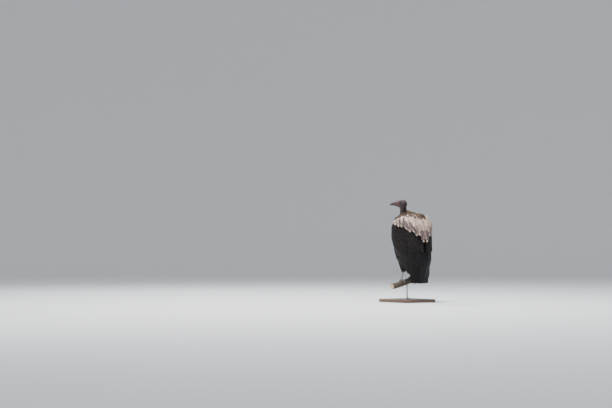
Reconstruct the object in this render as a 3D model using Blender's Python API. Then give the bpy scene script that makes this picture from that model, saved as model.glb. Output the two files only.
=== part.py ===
"""A hooded vulture perched upright on a cut branch, on a plain display stand.

Metres, +Z up. The origin is the centre of the stand's underside. The bird faces -Y,
so its left side is +X. The bird's own heights are counted from the top of the perch.
Angles round the body are counted from the breast, at 0, to the middle of the back, at 180.
"""

import math
from typing import NamedTuple

import bmesh
import bpy
from mathutils import Matrix, Vector

# Driving dimensions of the stand and the perch
BASE_WIDTH = 0.290
BASE_DEPTH = 0.320
BASE_HEIGHT = 0.022
BASE_CORNER = 0.030
BASE_EDGE = 0.004
ROD_RADIUS = 0.0065
COLLAR_RADIUS = 0.020
COLLAR_HEIGHT = 0.010
PERCH_TOP = 0.168
PERCH_RADIUS = 0.021
PERCH_LENGTH = 0.300
PERCH_SLOPE = math.radians(15)

# Driving dimensions of the bird
GAP = 0.0004
LAYER_GAP = 0.0013
HEAD_CENTRE = Vector((0.012, -0.026, 0.537))
HEAD_TURN = math.radians(50)
HEAD_DROP = math.radians(2)
EYE_RADIUS = 0.0066
EYE_PLACE = Vector((0.0215, 0.0140, 0.0075))
FOOT_SPREAD = 0.045
TOE_RADIUS = 0.0060
CLAW_LENGTH = 0.021
CLAW_RADIUS = 0.0033
SHANK_RADIUS = 0.0062
RING_SIDES = 22
SCAPULAR_THICKNESS = 0.008
COVERT_THICKNESS = 0.014
SECONDARY_THICKNESS = 0.008
PRIMARY_THICKNESS = 0.006
THIN_EDGE = 0.0012

SIDES = {"left": 1, "right": -1}
UPRIGHT = (0, 0, 1)
FORWARD = (1, 0, 0)


class Station(NamedTuple):
    """One cross-section of a lofted form."""

    centre: tuple
    across: float
    deep: float
    square: float = 2.0


class Toe(NamedTuple):
    """One toe: where it points on the perch, how far round it reaches, and its size."""

    name: str
    ahead: int
    splay: float
    reach: float
    root: float
    thick: float


class Layer(NamedTuple):
    """One layer of wing feathers.

    Top and low give its upper and lower edge as levels for shares of the way round, and
    front and rear give its other edges as angles for levels. Offset is how far it stands
    off the body. A layer that wraps comes down to the body at its front edge.
    """

    name: str
    top: tuple
    front: tuple
    rear: tuple
    low: tuple
    tips: int
    tip_depth: float
    rows: int
    thickness: float
    offset: float
    wraps: bool


TOES = (
    Toe("inner", 1, math.radians(-26), math.radians(92), 0.0055, 0.92),
    Toe("middle", 1, math.radians(0), math.radians(128), 0.0, 1.0),
    Toe("outer", 1, math.radians(26), math.radians(88), -0.0055, 0.9),
    Toe("hind", -1, math.radians(8), math.radians(80), 0.0, 0.95),
)

# The body's levels from the tail up to the crown of the back: level, true height, then
# the section's middle, half width and half depth
CORE = (
    (-0.050, -0.050, 0.1430, 0.076, 0.0140),
    (0.000, 0.000, 0.1370, 0.086, 0.0210),
    (0.050, 0.050, 0.1140, 0.092, 0.0600),
    (0.090, 0.090, 0.0850, 0.092, 0.1020),
    (0.130, 0.130, 0.0690, 0.101, 0.1210),
    (0.200, 0.200, 0.0530, 0.117, 0.1240),
    (0.280, 0.280, 0.0390, 0.119, 0.1220),
    (0.330, 0.328, 0.0350, 0.118, 0.1200),
    (0.385, 0.378, 0.0320, 0.113, 0.1160),
    (0.420, 0.404, 0.0330, 0.104, 0.1070),
    (0.440, 0.418, 0.0360, 0.091, 0.0930),
    (0.460, 0.428, 0.0390, 0.070, 0.0720),
    (0.480, 0.434, 0.0420, 0.043, 0.0450),
    (0.500, 0.436, 0.0440, 0.016, 0.0180),
)
TRUNK_LEVELS = (
    *(0.150, 0.200, 0.250, 0.300, 0.350, 0.390),
    *(0.418, 0.440, 0.460, 0.478, 0.496),
)
TRUNK_INSET = 0.0008
EDGE_DROP = 0.045
FRONT_DROP = 0.34

PRIMARIES = Layer(
    "primaries",
    top=((0, 0.250), (1, 0.250)),
    front=((-0.03, 118), (0.01, 100), (0.05, 89), (0.12, 91), (0.16, 97), (0.25, 90)),
    rear=((-0.02, 178), (0.25, 178)),
    low=((0, 0.048), (0.3, 0.016), (0.65, -0.006), (1, -0.022)),
    tips=5,
    tip_depth=0.016,
    rows=6,
    thickness=PRIMARY_THICKNESS,
    offset=0.0,
    wraps=True,
)
SECONDARIES = Layer(
    "secondaries",
    top=((0, 0.350), (1, 0.350)),
    front=((0.10, 92), (0.17, 80), (0.25, 74), (0.36, 72)),
    rear=((0.08, 178), (0.35, 178)),
    low=((0, 0.175), (0.4, 0.120), (0.75, 0.085), (1, 0.075)),
    tips=5,
    tip_depth=0.014,
    rows=6,
    thickness=SECONDARY_THICKNESS,
    offset=PRIMARY_THICKNESS + LAYER_GAP,
    wraps=True,
)
COVERTS = Layer(
    "coverts",
    top=((0, 0.405), (0.4, 0.440), (1, 0.450)),
    front=((0.20, 64), (0.28, 54), (0.36, 50), (0.42, 60)),
    rear=((0.20, 177.5), (0.45, 177.5)),
    low=((0, 0.230), (0.5, 0.200), (1, 0.185)),
    tips=5,
    tip_depth=0.010,
    rows=7,
    thickness=COVERT_THICKNESS,
    offset=PRIMARY_THICKNESS + SECONDARY_THICKNESS + 2 * LAYER_GAP,
    wraps=True,
)
SCAPULARS = Layer(
    "scapulars",
    top=((0, 0.430), (0.3, 0.460), (0.6, 0.486), (1, 0.497)),
    front=((0.25, 124), (0.33, 98), (0.39, 80), (0.44, 72)),
    rear=((0.25, 178.8), (0.50, 178.4)),
    low=((0, 0.398), (0.35, 0.360), (0.75, 0.292), (1, 0.245)),
    tips=5,
    tip_depth=0.014,
    rows=7,
    thickness=SCAPULAR_THICKNESS,
    offset=PRIMARY_THICKNESS + SECONDARY_THICKNESS + COVERT_THICKNESS + 3 * LAYER_GAP,
    wraps=False,
)
WING_LAYERS = (PRIMARIES, SECONDARIES, COVERTS, SCAPULARS)


# Collections and materials


def clear_scene():
    """Empties the scene of what Blender starts with."""
    for obj in list(bpy.data.objects):
        bpy.data.objects.remove(obj)


def new_collection(name):
    """Adds a collection to the scene."""
    made = bpy.data.collections.new(name)
    bpy.context.scene.collection.children.link(made)
    return made


def new_material(name, colour, roughness, metallic=0.0):
    """A plain Principled material."""
    made = bpy.data.materials.new(name)
    made.use_nodes = True
    shader = made.node_tree.nodes["Principled BSDF"]
    shader.inputs["Base Color"].default_value = (*colour, 1.0)
    shader.inputs["Roughness"].default_value = roughness
    shader.inputs["Metallic"].default_value = metallic
    return made


clear_scene()
VULTURE = new_collection("hooded_vulture")
CUTTERS = new_collection("cutters")

DARK_PLUMAGE = new_material("dark_plumage", (0.035, 0.028, 0.026), 0.8)
BACK_PLUMAGE = new_material("back_plumage", (0.36, 0.28, 0.23), 0.8)
BARE_SKIN = new_material("bare_skin", (0.30, 0.15, 0.15), 0.6)
LEG_SKIN = new_material("leg_skin", (0.42, 0.43, 0.44), 0.6)
DARK_HORN = new_material("dark_horn", (0.03, 0.028, 0.03), 0.35)
EYE_GLOSS = new_material("eye_gloss", (0.04, 0.022, 0.015), 0.08)
BARK = new_material("bark", (0.20, 0.15, 0.11), 0.9)
STAND_WOOD = new_material("stand_wood", (0.09, 0.05, 0.03), 0.4)
STAND_STEEL = new_material("stand_steel", (0.55, 0.55, 0.56), 0.3, 1.0)


# Shapes


def new_object(name, data, material=None, helper=False):
    """Links an object, either as a part or as a hidden cutter."""
    obj = bpy.data.objects.new(name, data)
    (CUTTERS if helper else VULTURE).objects.link(obj)
    if helper:
        obj.hide_render = True
        obj.display_type = "WIRE"
    if material:
        obj.data.materials.clear()
        obj.data.materials.append(material)
    return obj


def from_perch(x, y, height):
    """A point given by its height over the perch's top."""
    return Vector((x, y, height + PERCH_TOP))


def catmull(before, start, end, after, share):
    """A smooth curve's value between start and end."""
    return 0.5 * (
        2 * start
        + (end - before) * share
        + (2 * before - 5 * start + 4 * end - after) * share**2
        + (3 * start - before - 3 * end + after) * share**3
    )


def between(stations, count):
    """Count stations on a smooth curve through the given ones."""
    last = len(stations) - 1
    found = []
    for i in range(count):
        place = i / (count - 1) * last
        k = min(int(place), last - 1)
        near = [stations[min(max(k + step, 0), last)] for step in (-1, 0, 1, 2)]
        values = [
            catmull(*[Vector(s.centre) for s in near], place - k),
            *[catmull(*[s[field] for s in near], place - k) for field in (1, 2, 3)],
        ]
        found.append(Station(values[0], *[max(v, 1e-4) for v in values[1:]]))
    return found


def loft_mesh(name, stations, count, sides=RING_SIDES, square_to=None, widthways=(1, 0, 0)):
    """A closed skin through superellipse sections.

    The sections stand square to the line of their centres, or to a given axis. Widthways
    is the direction of each section's width.
    """
    rings = between(stations, count)
    mesh = bmesh.new()
    loops = []
    for i, ring in enumerate(rings):
        ahead = rings[min(i + 1, count - 1)].centre - rings[max(i - 1, 0)].centre
        if square_to:
            ahead = ahead.project(Vector(square_to))
        side = Vector(widthways)
        side = (side - side.project(ahead)).normalized()
        depth = ahead.normalized().cross(side)
        loop = []
        for k in range(sides):
            c, s = math.cos(2 * math.pi * k / sides), math.sin(2 * math.pi * k / sides)
            out = (abs(c) ** ring.square + abs(s) ** ring.square) ** (-1 / ring.square)
            spot = ring.centre + side * (ring.across * c * out) + depth * (ring.deep * s * out)
            loop.append(mesh.verts.new(spot))
        loops.append(loop)
    for low, high in zip(loops, loops[1:]):
        for k in range(sides):
            mesh.faces.new((low[k], low[(k + 1) % sides], high[(k + 1) % sides], high[k]))
    mesh.faces.new(loops[0][::-1])
    mesh.faces.new(loops[-1])
    bmesh.ops.recalc_face_normals(mesh, faces=mesh.faces)
    made = bpy.data.meshes.new(name)
    mesh.to_mesh(made)
    mesh.free()
    return made


def baked(obj):
    """The object's mesh with its modifiers applied, in world space."""
    graph = bpy.context.evaluated_depsgraph_get()
    made = bpy.data.meshes.new_from_object(obj.evaluated_get(graph))
    made.transform(obj.evaluated_get(graph).matrix_world)
    mesh = bmesh.new()
    mesh.from_mesh(made)
    bmesh.ops.remove_doubles(mesh, verts=mesh.verts, dist=1e-6)
    bmesh.ops.recalc_face_normals(mesh, faces=mesh.faces)
    mesh.to_mesh(made)
    mesh.free()
    return made


def swollen(obj):
    """A cutter that is the object's shape grown by the gap that neighbours keep."""
    cutter = new_object(obj.name + "_swollen", baked(obj), helper=True)
    grow = cutter.modifiers.new("grow", "DISPLACE")
    grow.strength = GAP
    grow.mid_level = 0.0
    return cutter


def carve(obj, cutter, operation="DIFFERENCE"):
    """Adds a Boolean with the cutter."""
    step = obj.modifiers.new(cutter.name, "BOOLEAN")
    step.operation = operation
    step.object = cutter


def cut_off(mesh_data, point, normal):
    """A copy of a closed mesh with what lies beyond a plane taken off and the cut closed."""
    mesh = bmesh.new()
    mesh.from_mesh(mesh_data)
    cut = bmesh.ops.bisect_plane(
        mesh,
        geom=mesh.verts[:] + mesh.edges[:] + mesh.faces[:],
        dist=1e-6,
        plane_co=point,
        plane_no=normal,
        clear_outer=True,
    )
    rim = [e for e in cut["geom_cut"] if isinstance(e, bmesh.types.BMEdge)]
    bmesh.ops.holes_fill(mesh, edges=rim, sides=0)
    bmesh.ops.recalc_face_normals(mesh, faces=mesh.faces)
    made = mesh_data.copy()
    mesh.to_mesh(made)
    mesh.free()
    return made


def parted(mesh_data, point, normal):
    """The two sides of a thin cut through a closed mesh, the near side first."""
    point, normal = Vector(point), Vector(normal).normalized()
    near = cut_off(mesh_data, point - normal * GAP / 2, normal)
    far = cut_off(mesh_data, point + normal * GAP / 2, -normal)
    return near, far


def mirrored(mesh_data):
    """A mesh's mirror image across the bird's own middle plane."""
    made = mesh_data.copy()
    made.transform(Matrix.Scale(-1, 4, (1, 0, 0)))
    made.flip_normals()
    return made


def tube(name, points, radii, material=None, helper=False):
    """A round bar through points, with its own radius at each and closed ends."""
    curve = bpy.data.curves.new(name, "CURVE")
    curve.dimensions = "3D"
    curve.bevel_depth = 1.0
    curve.bevel_resolution = 1
    curve.use_fill_caps = True
    line = curve.splines.new("POLY")
    line.points.add(len(points) - 1)
    for spot, point, radius in zip(line.points, points, radii):
        spot.co = (*point, 1.0)
        spot.radius = radius
    return new_object(name, curve, material, helper)


def shade(obj):
    """Smooth shading over the rounds, with sharp edges kept."""
    obj.data.shade_smooth()
    obj.data.set_sharp_from_angle(angle=math.radians(50))


# The body's surface


def read_table(pairs, place):
    """The value that a short table of (place, value) pairs gives, on a smooth curve."""
    last = len(pairs) - 1
    if place <= pairs[0][0]:
        return pairs[0][1]
    if place >= pairs[last][0]:
        return pairs[last][1]
    k = max(i for i in range(last) if pairs[i][0] <= place)
    share = (place - pairs[k][0]) / (pairs[k + 1][0] - pairs[k][0])
    share = share * share * (3 - 2 * share) * 0.35 + share * 0.65
    return pairs[k][1] + (pairs[k + 1][1] - pairs[k][1]) * share


def core_section(level):
    """The body's height, middle, half width and half depth at a level."""
    last = len(CORE) - 1
    k = max([i for i in range(last) if CORE[i][0] <= level] or [0])
    share = min(max((level - CORE[k][0]) / (CORE[k + 1][0] - CORE[k][0]), 0.0), 1.0)
    near = [CORE[min(max(k + step, 0), last)] for step in (-1, 0, 1, 2)]
    return [catmull(*[row[field] for row in near], share) for field in (1, 2, 3, 4)]


def core_point(angle, level, out=0.0):
    """A point of the body's surface, or one that stands out from it."""
    height, middle, across, deep = core_section(level)
    turn = math.radians(angle)
    spot = from_perch(across * math.sin(turn), middle - deep * math.cos(turn), height)
    if not out:
        return spot
    around = core_point(angle + 1.5, level) - core_point(angle - 1.5, level)
    up = core_point(angle, level + 0.004) - core_point(angle, level - 0.004)
    return spot + around.cross(up).normalized() * out


# The trunk, neck and ruff


def trunk_stations():
    """Level sections of the trunk from the vent up to the crown of the back."""
    belly = (
        (0.076, 0.072, 0.032, 0.038),
        (0.082, 0.069, 0.052, 0.058),
        (0.094, 0.066, 0.070, 0.079),
        (0.116, 0.063, 0.088, 0.099),
    )
    found = []
    for height, middle, across, deep in belly:
        found.append(Station(from_perch(0, middle, height), across, deep))
    for level in TRUNK_LEVELS:
        height, middle, across, deep = core_section(level)
        centre = from_perch(0, middle, height - TRUNK_INSET)
        found.append(Station(centre, across - TRUNK_INSET, deep - TRUNK_INSET))
    return found


def neck_stations():
    """Sections of the neck from inside the trunk up into the head."""
    rows = (
        (0.000, -0.010, 0.400, 0.050, 0.050),
        (0.003, -0.024, 0.437, 0.036, 0.038),
        (0.007, -0.029, 0.468, 0.0255, 0.0275),
        (0.010, -0.028, 0.494, 0.0225, 0.0250),
        (0.011, -0.025, 0.514, 0.0195, 0.0225),
        (0.012, -0.023, 0.530, 0.0130, 0.0170),
    )
    return [Station(from_perch(x, y, z), across, deep) for x, y, z, across, deep in rows]


def ruff_stations():
    """Sections of the collar of long feathers round the neck's root, fullest behind."""
    rows = (
        (0.002, 0.000, 0.366, 0.098, 0.087),
        (0.002, -0.001, 0.408, 0.094, 0.084),
        (0.002, -0.002, 0.433, 0.081, 0.075),
        (0.000, 0.014, 0.449, 0.067, 0.064),
        (0.000, 0.016, 0.461, 0.057, 0.057),
        (0.002, -0.013, 0.478, 0.032, 0.037),
    )
    return [Station(from_perch(x, y, z), across, deep) for x, y, z, across, deep in rows]


def make_trunk():
    """The breast, belly and flanks in one form."""
    stations = trunk_stations()
    data = loft_mesh("trunk", stations, len(stations), RING_SIDES, square_to=UPRIGHT)
    return new_object("trunk", data, DARK_PLUMAGE)


# The wings and the tail


def plate_mesh(name, columns, rows, place):
    """A closed plate: place gives its inner and outer point for shares across and down."""
    mesh = bmesh.new()
    inner, outer = [], []
    for j in range(rows + 1):
        pairs = [place(i / columns, j / rows) for i in range(columns + 1)]
        inner.append([mesh.verts.new(near) for near, _ in pairs])
        outer.append([mesh.verts.new(far) for _, far in pairs])
    for j in range(rows):
        for i in range(columns):
            for sheet, step in ((outer, 1), (inner, -1)):
                corners = (sheet[j][i], sheet[j + 1][i], sheet[j + 1][i + 1], sheet[j][i + 1])
                mesh.faces.new(corners[::step])
    border = [(0, i) for i in range(columns)] + [(j, columns) for j in range(rows)]
    border += [(rows, i) for i in range(columns, 0, -1)] + [(j, 0) for j in range(rows, 0, -1)]
    for k, (j, i) in enumerate(border):
        jj, ii = border[(k + 1) % len(border)]
        mesh.faces.new((inner[j][i], inner[jj][ii], outer[jj][ii], outer[j][i]))
    bmesh.ops.recalc_face_normals(mesh, faces=mesh.faces)
    made = bpy.data.meshes.new(name)
    mesh.to_mesh(made)
    mesh.free()
    return made


def rounded(share, edge):
    """0 at either end of a span, rising to 1 within an edge's share of it."""
    near = min(share, 1 - share) / edge
    return math.sqrt(1 - (1 - min(near, 1.0)) ** 2)


def tip_bump(share, tips):
    """How far down a row of feather tips reaches: 0 between two feathers, 1 at a tip."""
    within = share * tips % 1.0
    return 0.0 if within < 1e-6 or within > 1 - 1e-6 else 1 - abs(2 * within - 1) ** 2.2


def eased(share):
    """0 to 1 with a soft start and a soft stop."""
    share = min(max(share, 0.0), 1.0)
    return share * share * (3 - 2 * share)


def wing_mesh(layer):
    """One layer of the left wing."""

    def place(across, down):
        top = read_table(layer.top, across)
        low = read_table(layer.low, across) - layer.tip_depth * tip_bump(across, layer.tips)
        level = top + (low - top) * down
        front = read_table(layer.front, level)
        rear = read_table(layer.rear, level)
        angle = front + (rear - front) * across
        seam = 0.0 if tip_bump(across, layer.tips) else 0.0010 * min(down * 2, 1.0)
        body = rounded(across, 0.35) * rounded(down * 0.5, 0.10)
        body *= 1 - 0.72 * max(down - 0.6, 0) / 0.4
        thick = max(layer.thickness * body - seam, THIN_EDGE)
        drop = eased((top - level) / EDGE_DROP)
        if layer.wraps:
            drop = min(drop, eased(across / FRONT_DROP))
        near = LAYER_GAP + layer.offset * drop
        return core_point(angle, level, near), core_point(angle, level, near + thick)

    return plate_mesh(layer.name, layer.tips * 3, layer.rows, place)


def make_wings():
    """Both folded wings and the scapulars over them, layer by layer from the inside."""
    made = []
    for layer in WING_LAYERS:
        data = wing_mesh(layer)
        label = "scapulars" if layer is SCAPULARS else f"wing_{layer.name}"
        material = BACK_PLUMAGE if layer is SCAPULARS else DARK_PLUMAGE
        for name, side in SIDES.items():
            mesh = data if side > 0 else mirrored(data)
            made.append(new_object(f"{label}_{name}", mesh, material))
    return made


def tail_mesh():
    """The folded tail: broad feathers side by side, from the rump to a square end."""

    def place(across, down):
        spread = across * 2 - 1
        low = -0.030 + 0.006 * spread**2 - 0.010 * tip_bump(across, 7)
        height = 0.130 + (low - 0.130) * down
        half = 0.042 + 0.040 * min(down * 1.4, 1.0) ** 0.8
        middle = 0.150 - 0.012 * down + 0.008 * (1 - spread**2) - 0.030 * (1 - down) ** 3
        thick = max(0.0085 * (1 - 0.7 * down) * rounded(across, 0.2), THIN_EDGE)
        spot = from_perch(half * spread, middle, height)
        return spot + Vector((0, -thick / 2, 0)), spot + Vector((0, thick / 2, 0))

    return plate_mesh("tail", 14, 4, place)


def make_tail(trunk):
    """The tail, cut off where it enters the rump."""
    tail = new_object("tail", tail_mesh(), DARK_PLUMAGE)
    carve(tail, trunk)
    return tail


# The head


def head_stations():
    """Upright sections of the head from its back to the root of the bill."""
    rows = (
        (-0.0290, 0.0040, -0.0090, 0.0030),
        (-0.0240, 0.0165, -0.0190, 0.0120),
        (-0.0120, 0.0262, -0.0255, 0.0180),
        (0.0030, 0.0300, -0.0280, 0.0205),
        (0.0170, 0.0288, -0.0280, 0.0192),
        (0.0280, 0.0262, -0.0260, 0.0160),
        (0.0380, 0.0232, -0.0220, 0.0128),
        (0.0460, 0.0214, -0.0190, 0.0108),
    )
    return [
        Station((x, 0, (top + low) / 2), half, (top - low) / 2, 2.1)
        for x, top, low, half in rows
    ]


def cere_stations():
    """Sections of the fleshy cere, the rear part of the upper bill."""
    rows = (
        (0.0464, 0.0212, -0.0066, 0.0098),
        (0.0540, 0.0196, -0.0068, 0.0086),
        (0.0630, 0.0162, -0.0058, 0.0072),
        (0.0705, 0.0138, -0.0050, 0.0062),
    )
    return [
        Station((x, 0, (top + low) / 2), half, (top - low) / 2, 2.2)
        for x, top, low, half in rows
    ]


def hook_stations():
    """Sections of the horny hooked tip, square to its bend."""
    rows = (
        (0.0709, 0.0044, 0.0061, 0.0093),
        (0.0770, 0.0040, 0.0058, 0.0086),
        (0.0830, 0.0018, 0.0052, 0.0072),
        (0.0880, -0.0025, 0.0042, 0.0054),
        (0.0912, -0.0078, 0.0030, 0.0036),
        (0.0922, -0.0125, 0.0017, 0.0019),
        (0.0920, -0.0158, 0.0005, 0.0006),
    )
    return [Station((x, 0, z), across, deep) for x, z, across, deep in rows]


def lower_bill_stations():
    """Sections of the lower bill, which ends inside the hook."""
    rows = (
        (0.0464, -0.0078, -0.0188, 0.0088),
        (0.0550, -0.0080, -0.0168, 0.0076),
        (0.0640, -0.0074, -0.0146, 0.0060),
        (0.0720, -0.0068, -0.0126, 0.0046),
        (0.0790, -0.0068, -0.0108, 0.0030),
        (0.0820, -0.0074, -0.0094, 0.0010),
    )
    return [
        Station((x, 0, (top + low) / 2), half, (top - low) / 2, 2.3)
        for x, top, low, half in rows
    ]


def make_head():
    """The head, cere, bill and eyes, on an empty that turns and tips them together."""
    pose = bpy.data.objects.new("head_pose", None)
    VULTURE.objects.link(pose)
    pose.location = HEAD_CENTRE + Vector((0, 0, PERCH_TOP))
    pose.rotation_euler = (0, HEAD_DROP, HEAD_TURN - math.pi / 2)
    widthways = (0, 1, 0)
    forms = (
        ("head", head_stations(), 10, 18, FORWARD, BARE_SKIN),
        ("cere", cere_stations(), 5, 14, FORWARD, BARE_SKIN),
        ("bill_upper", hook_stations(), 10, 12, None, DARK_HORN),
        ("bill_lower", lower_bill_stations(), 7, 12, FORWARD, DARK_HORN),
    )
    pieces = {}
    for name, stations, count, sides, axis, material in forms:
        data = loft_mesh(name, stations, count, sides, axis, widthways)
        pieces[name] = new_object(name, data, material)
        pieces[name].parent = pose
    for name, side in SIDES.items():
        ball = bmesh.new()
        bmesh.ops.create_uvsphere(ball, u_segments=10, v_segments=7, radius=EYE_RADIUS)
        data = bpy.data.meshes.new(f"eye_{name}")
        ball.to_mesh(data)
        ball.free()
        eye = new_object(f"eye_{name}", data, EYE_GLOSS)
        eye.parent = pose
        eye.location = EYE_PLACE * Vector((1, side, 1))
        pieces[eye.name] = eye
    bpy.context.view_layer.update()
    for name in SIDES:
        carve(pieces["head"], swollen(pieces[f"eye_{name}"]))
    bpy.context.view_layer.update()
    return pieces


def make_neck(head, trunk):
    """The bare neck between the trunk and the head."""
    neck = new_object("neck", loft_mesh("neck", neck_stations(), 8, 14), BARE_SKIN)
    carve(neck, swollen(head))
    carve(neck, trunk)
    return neck


# The legs and feet


def perch_frame():
    """Places the perch: its own X runs along the branch, which falls towards the bird's left."""
    tilt = Matrix.Rotation(PERCH_SLOPE, 4, "Y")
    return Matrix.Translation((0, 0, PERCH_TOP - PERCH_RADIUS)) @ tilt


def on_perch(along, angle, height):
    """A point over the branch's surface, angle being counted from its top towards the front."""
    out = PERCH_RADIUS + height
    return perch_frame() @ Vector((along, -math.sin(angle) * out, math.cos(angle) * out))


def toe_line(toe, side, count, start=0.0, end=1.0):
    """Points down the middle of a toe as it wraps the branch, with each one's share of the way."""
    points = []
    for i in range(count):
        share = start + (end - start) * i / (count - 1)
        angle = toe.ahead * toe.reach * share
        drift = toe.root + math.tan(toe.splay) * (PERCH_RADIUS + TOE_RADIUS) * toe.reach * share
        along = side * (FOOT_SPREAD - drift)
        points.append((on_perch(along, angle, TOE_RADIUS * toe.thick + GAP), share))
    return points


def toe_radius(toe, share):
    """The toe's radius, with a pad at each joint and a narrow end."""
    knuckle = 0.06 * math.cos(share * 5 * math.pi)
    return TOE_RADIUS * toe.thick * (1.0 - 0.26 * share + knuckle * (1 - share)) * 0.94


def make_foot(name, side, shank):
    """The toes, the ball they spring from and the shank over it, joined into one body."""
    ball_centre = on_perch(side * FOOT_SPREAD, 0, TOE_RADIUS * 1.35)
    ball = bmesh.new()
    bmesh.ops.create_uvsphere(ball, u_segments=8, v_segments=6, radius=TOE_RADIUS * 1.42)
    bmesh.ops.scale(ball, vec=(1.25, 1.25, 0.92), verts=ball.verts)
    bmesh.ops.translate(ball, vec=ball_centre + Vector((0, 0, 0.0003)), verts=ball.verts)
    data = bpy.data.meshes.new(f"foot_{name}")
    ball.to_mesh(data)
    ball.free()
    foot = new_object(f"foot_{name}_whole", data, helper=True)
    carve(foot, shank, "UNION")
    for toe in TOES:
        line = toe_line(toe, side, 6)
        bar = tube("toe", [p for p, _ in line], [toe_radius(toe, s) for _, s in line], helper=True)
        bpy.context.view_layer.update()
        cutter = new_object(f"toe_{name}_{toe.name}", baked(bar), helper=True)
        bpy.data.objects.remove(bar)
        carve(foot, cutter, "UNION")
        make_claw(name, side, toe)
    bpy.context.view_layer.update()
    whole = baked(foot)
    bpy.data.objects.remove(foot)
    joint = ball_centre + Vector((0, 0, TOE_RADIUS * 2.4))
    lower, upper = parted(whole, joint, (0, -0.2, 1))
    new_object(f"foot_{name}", lower, LEG_SKIN)
    return new_object(f"shank_{name}", upper, LEG_SKIN)


def make_claw(name, side, toe):
    """A claw that goes on from its toe and bends in to the branch."""
    line = toe_line(toe, side, 2, 0.96, 1.0)
    ahead = (line[1][0] - line[0][0]).normalized()
    axis = (perch_frame().to_3x3() @ Vector((1, 0, 0))) * toe.ahead
    steps = 5
    turn = math.radians(62) / (steps - 1)
    stride = CLAW_LENGTH * toe.thick / (steps - 1)
    point = line[1][0] + ahead * 2 * GAP
    points, radii = [], []
    for i in range(steps):
        share = i / (steps - 1)
        points.append(point.copy())
        radii.append(CLAW_RADIUS * toe.thick * (1 - share) ** 0.75 + 0.0002)
        point = point + ahead * stride
        ahead = Matrix.Rotation(turn * (1.1 - 0.9 * share), 3, axis) @ ahead
    tube(f"claw_{name}_{toe.name}", points, radii, DARK_HORN)


def make_leg(name, side, trunk):
    """One leg: the feathered thigh, the bare shank and the foot."""
    ball = on_perch(side * FOOT_SPREAD, 0, TOE_RADIUS * 1.3)
    ankle = from_perch(side * 0.046, 0.021, 0.070)
    line = [ball.lerp(ankle, i / 5) for i in range(6)] + [ankle + Vector((0, -0.001, 0.010))]
    shape = (1.0, 0.86, 0.80, 0.82, 0.92, 1.1, 0.8)
    bar = tube("shank_bar", line, [SHANK_RADIUS * s for s in shape], helper=True)
    bpy.context.view_layer.update()
    straight = new_object(f"shank_{name}_bar", baked(bar), helper=True)
    bpy.data.objects.remove(bar)
    shank = make_foot(name, side, straight)

    rows = (
        (0.040, 0.020, 0.200, 0.034, 0.040),
        (0.046, 0.016, 0.150, 0.036, 0.040),
        (0.048, 0.016, 0.112, 0.028, 0.033),
        (0.047, 0.016, 0.080, 0.0190, 0.022),
        (0.046, 0.018, 0.052, 0.0115, 0.013),
    )
    stations = [
        Station(from_perch(side * x, y, z), across, deep) for x, y, z, across, deep in rows
    ]
    data = loft_mesh(f"thigh_{name}", stations, 7, 16, square_to=UPRIGHT)
    thigh = new_object(f"thigh_{name}", data, DARK_PLUMAGE)
    carve(thigh, trunk)
    bpy.context.view_layer.update()
    carve(shank, swollen(thigh))


# The perch and the stand


def make_perch():
    """The cut length of branch, a little crooked towards its ends and sawn square."""
    steps = 13
    points, radii = [], []
    for i in range(steps):
        share = i / (steps - 1) * 2 - 1
        along = share * PERCH_LENGTH / 2
        beyond = max(abs(share) - 0.55, 0.0)
        bend = Vector((0, 0.05 * beyond**2 * (1 if share > 0 else -1), 0.04 * beyond**2))
        points.append(perch_frame() @ (Vector((along, 0, 0)) + bend))
        radii.append(PERCH_RADIUS * (1.0 - 0.03 * share + 0.10 * beyond))
    bar = tube("perch_bar", points, radii, helper=True)
    bar.data.bevel_resolution = 6
    bpy.context.view_layer.update()
    perch = new_object("perch_branch", baked(bar), BARK)
    bpy.data.objects.remove(bar)
    return perch


def make_stand(perch):
    """The flat base, the rod that carries the perch, and the rod's collar."""
    block = bmesh.new()
    bmesh.ops.create_cube(block, size=1.0)
    bmesh.ops.scale(block, vec=(BASE_WIDTH, BASE_DEPTH, BASE_HEIGHT), verts=block.verts)
    bmesh.ops.translate(block, vec=(0, 0, BASE_HEIGHT / 2), verts=block.verts)
    upright = [e for e in block.edges if abs(e.verts[0].co.z - e.verts[1].co.z) > GAP]
    bmesh.ops.bevel(
        block, geom=upright, offset=BASE_CORNER, segments=4, profile=0.5, affect="EDGES"
    )
    rim = [e for e in block.edges if all(v.co.z > BASE_HEIGHT - GAP for v in e.verts)]
    bmesh.ops.bevel(block, geom=rim, offset=BASE_EDGE, segments=2, profile=0.5, affect="EDGES")
    data = bpy.data.meshes.new("stand_base")
    block.to_mesh(data)
    block.free()
    new_object("stand_base", data, STAND_WOOD)

    rings = ((COLLAR_RADIUS, 0.0), (COLLAR_RADIUS, 0.005), (0.013, COLLAR_HEIGHT))
    collar_foot = BASE_HEIGHT + GAP
    stations = [Station((0, 0, collar_foot + z), r, r) for r, z in rings]
    data = loft_mesh("stand_collar", stations, 3, 18, square_to=UPRIGHT)
    collar = new_object("stand_collar", data, STAND_STEEL)
    foot, head = Vector((0, 0, collar_foot)), Vector((0, 0, PERCH_TOP - PERCH_RADIUS))
    bar = tube("rod_bar", [foot, head], [ROD_RADIUS] * 2, helper=True)
    bar.data.bevel_resolution = 5
    bpy.context.view_layer.update()
    rod = new_object("stand_rod", baked(bar), STAND_STEEL)
    bpy.data.objects.remove(bar)
    carve(rod, swollen(perch))
    bpy.context.view_layer.update()
    carve(collar, swollen(rod))


# The whole


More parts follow.
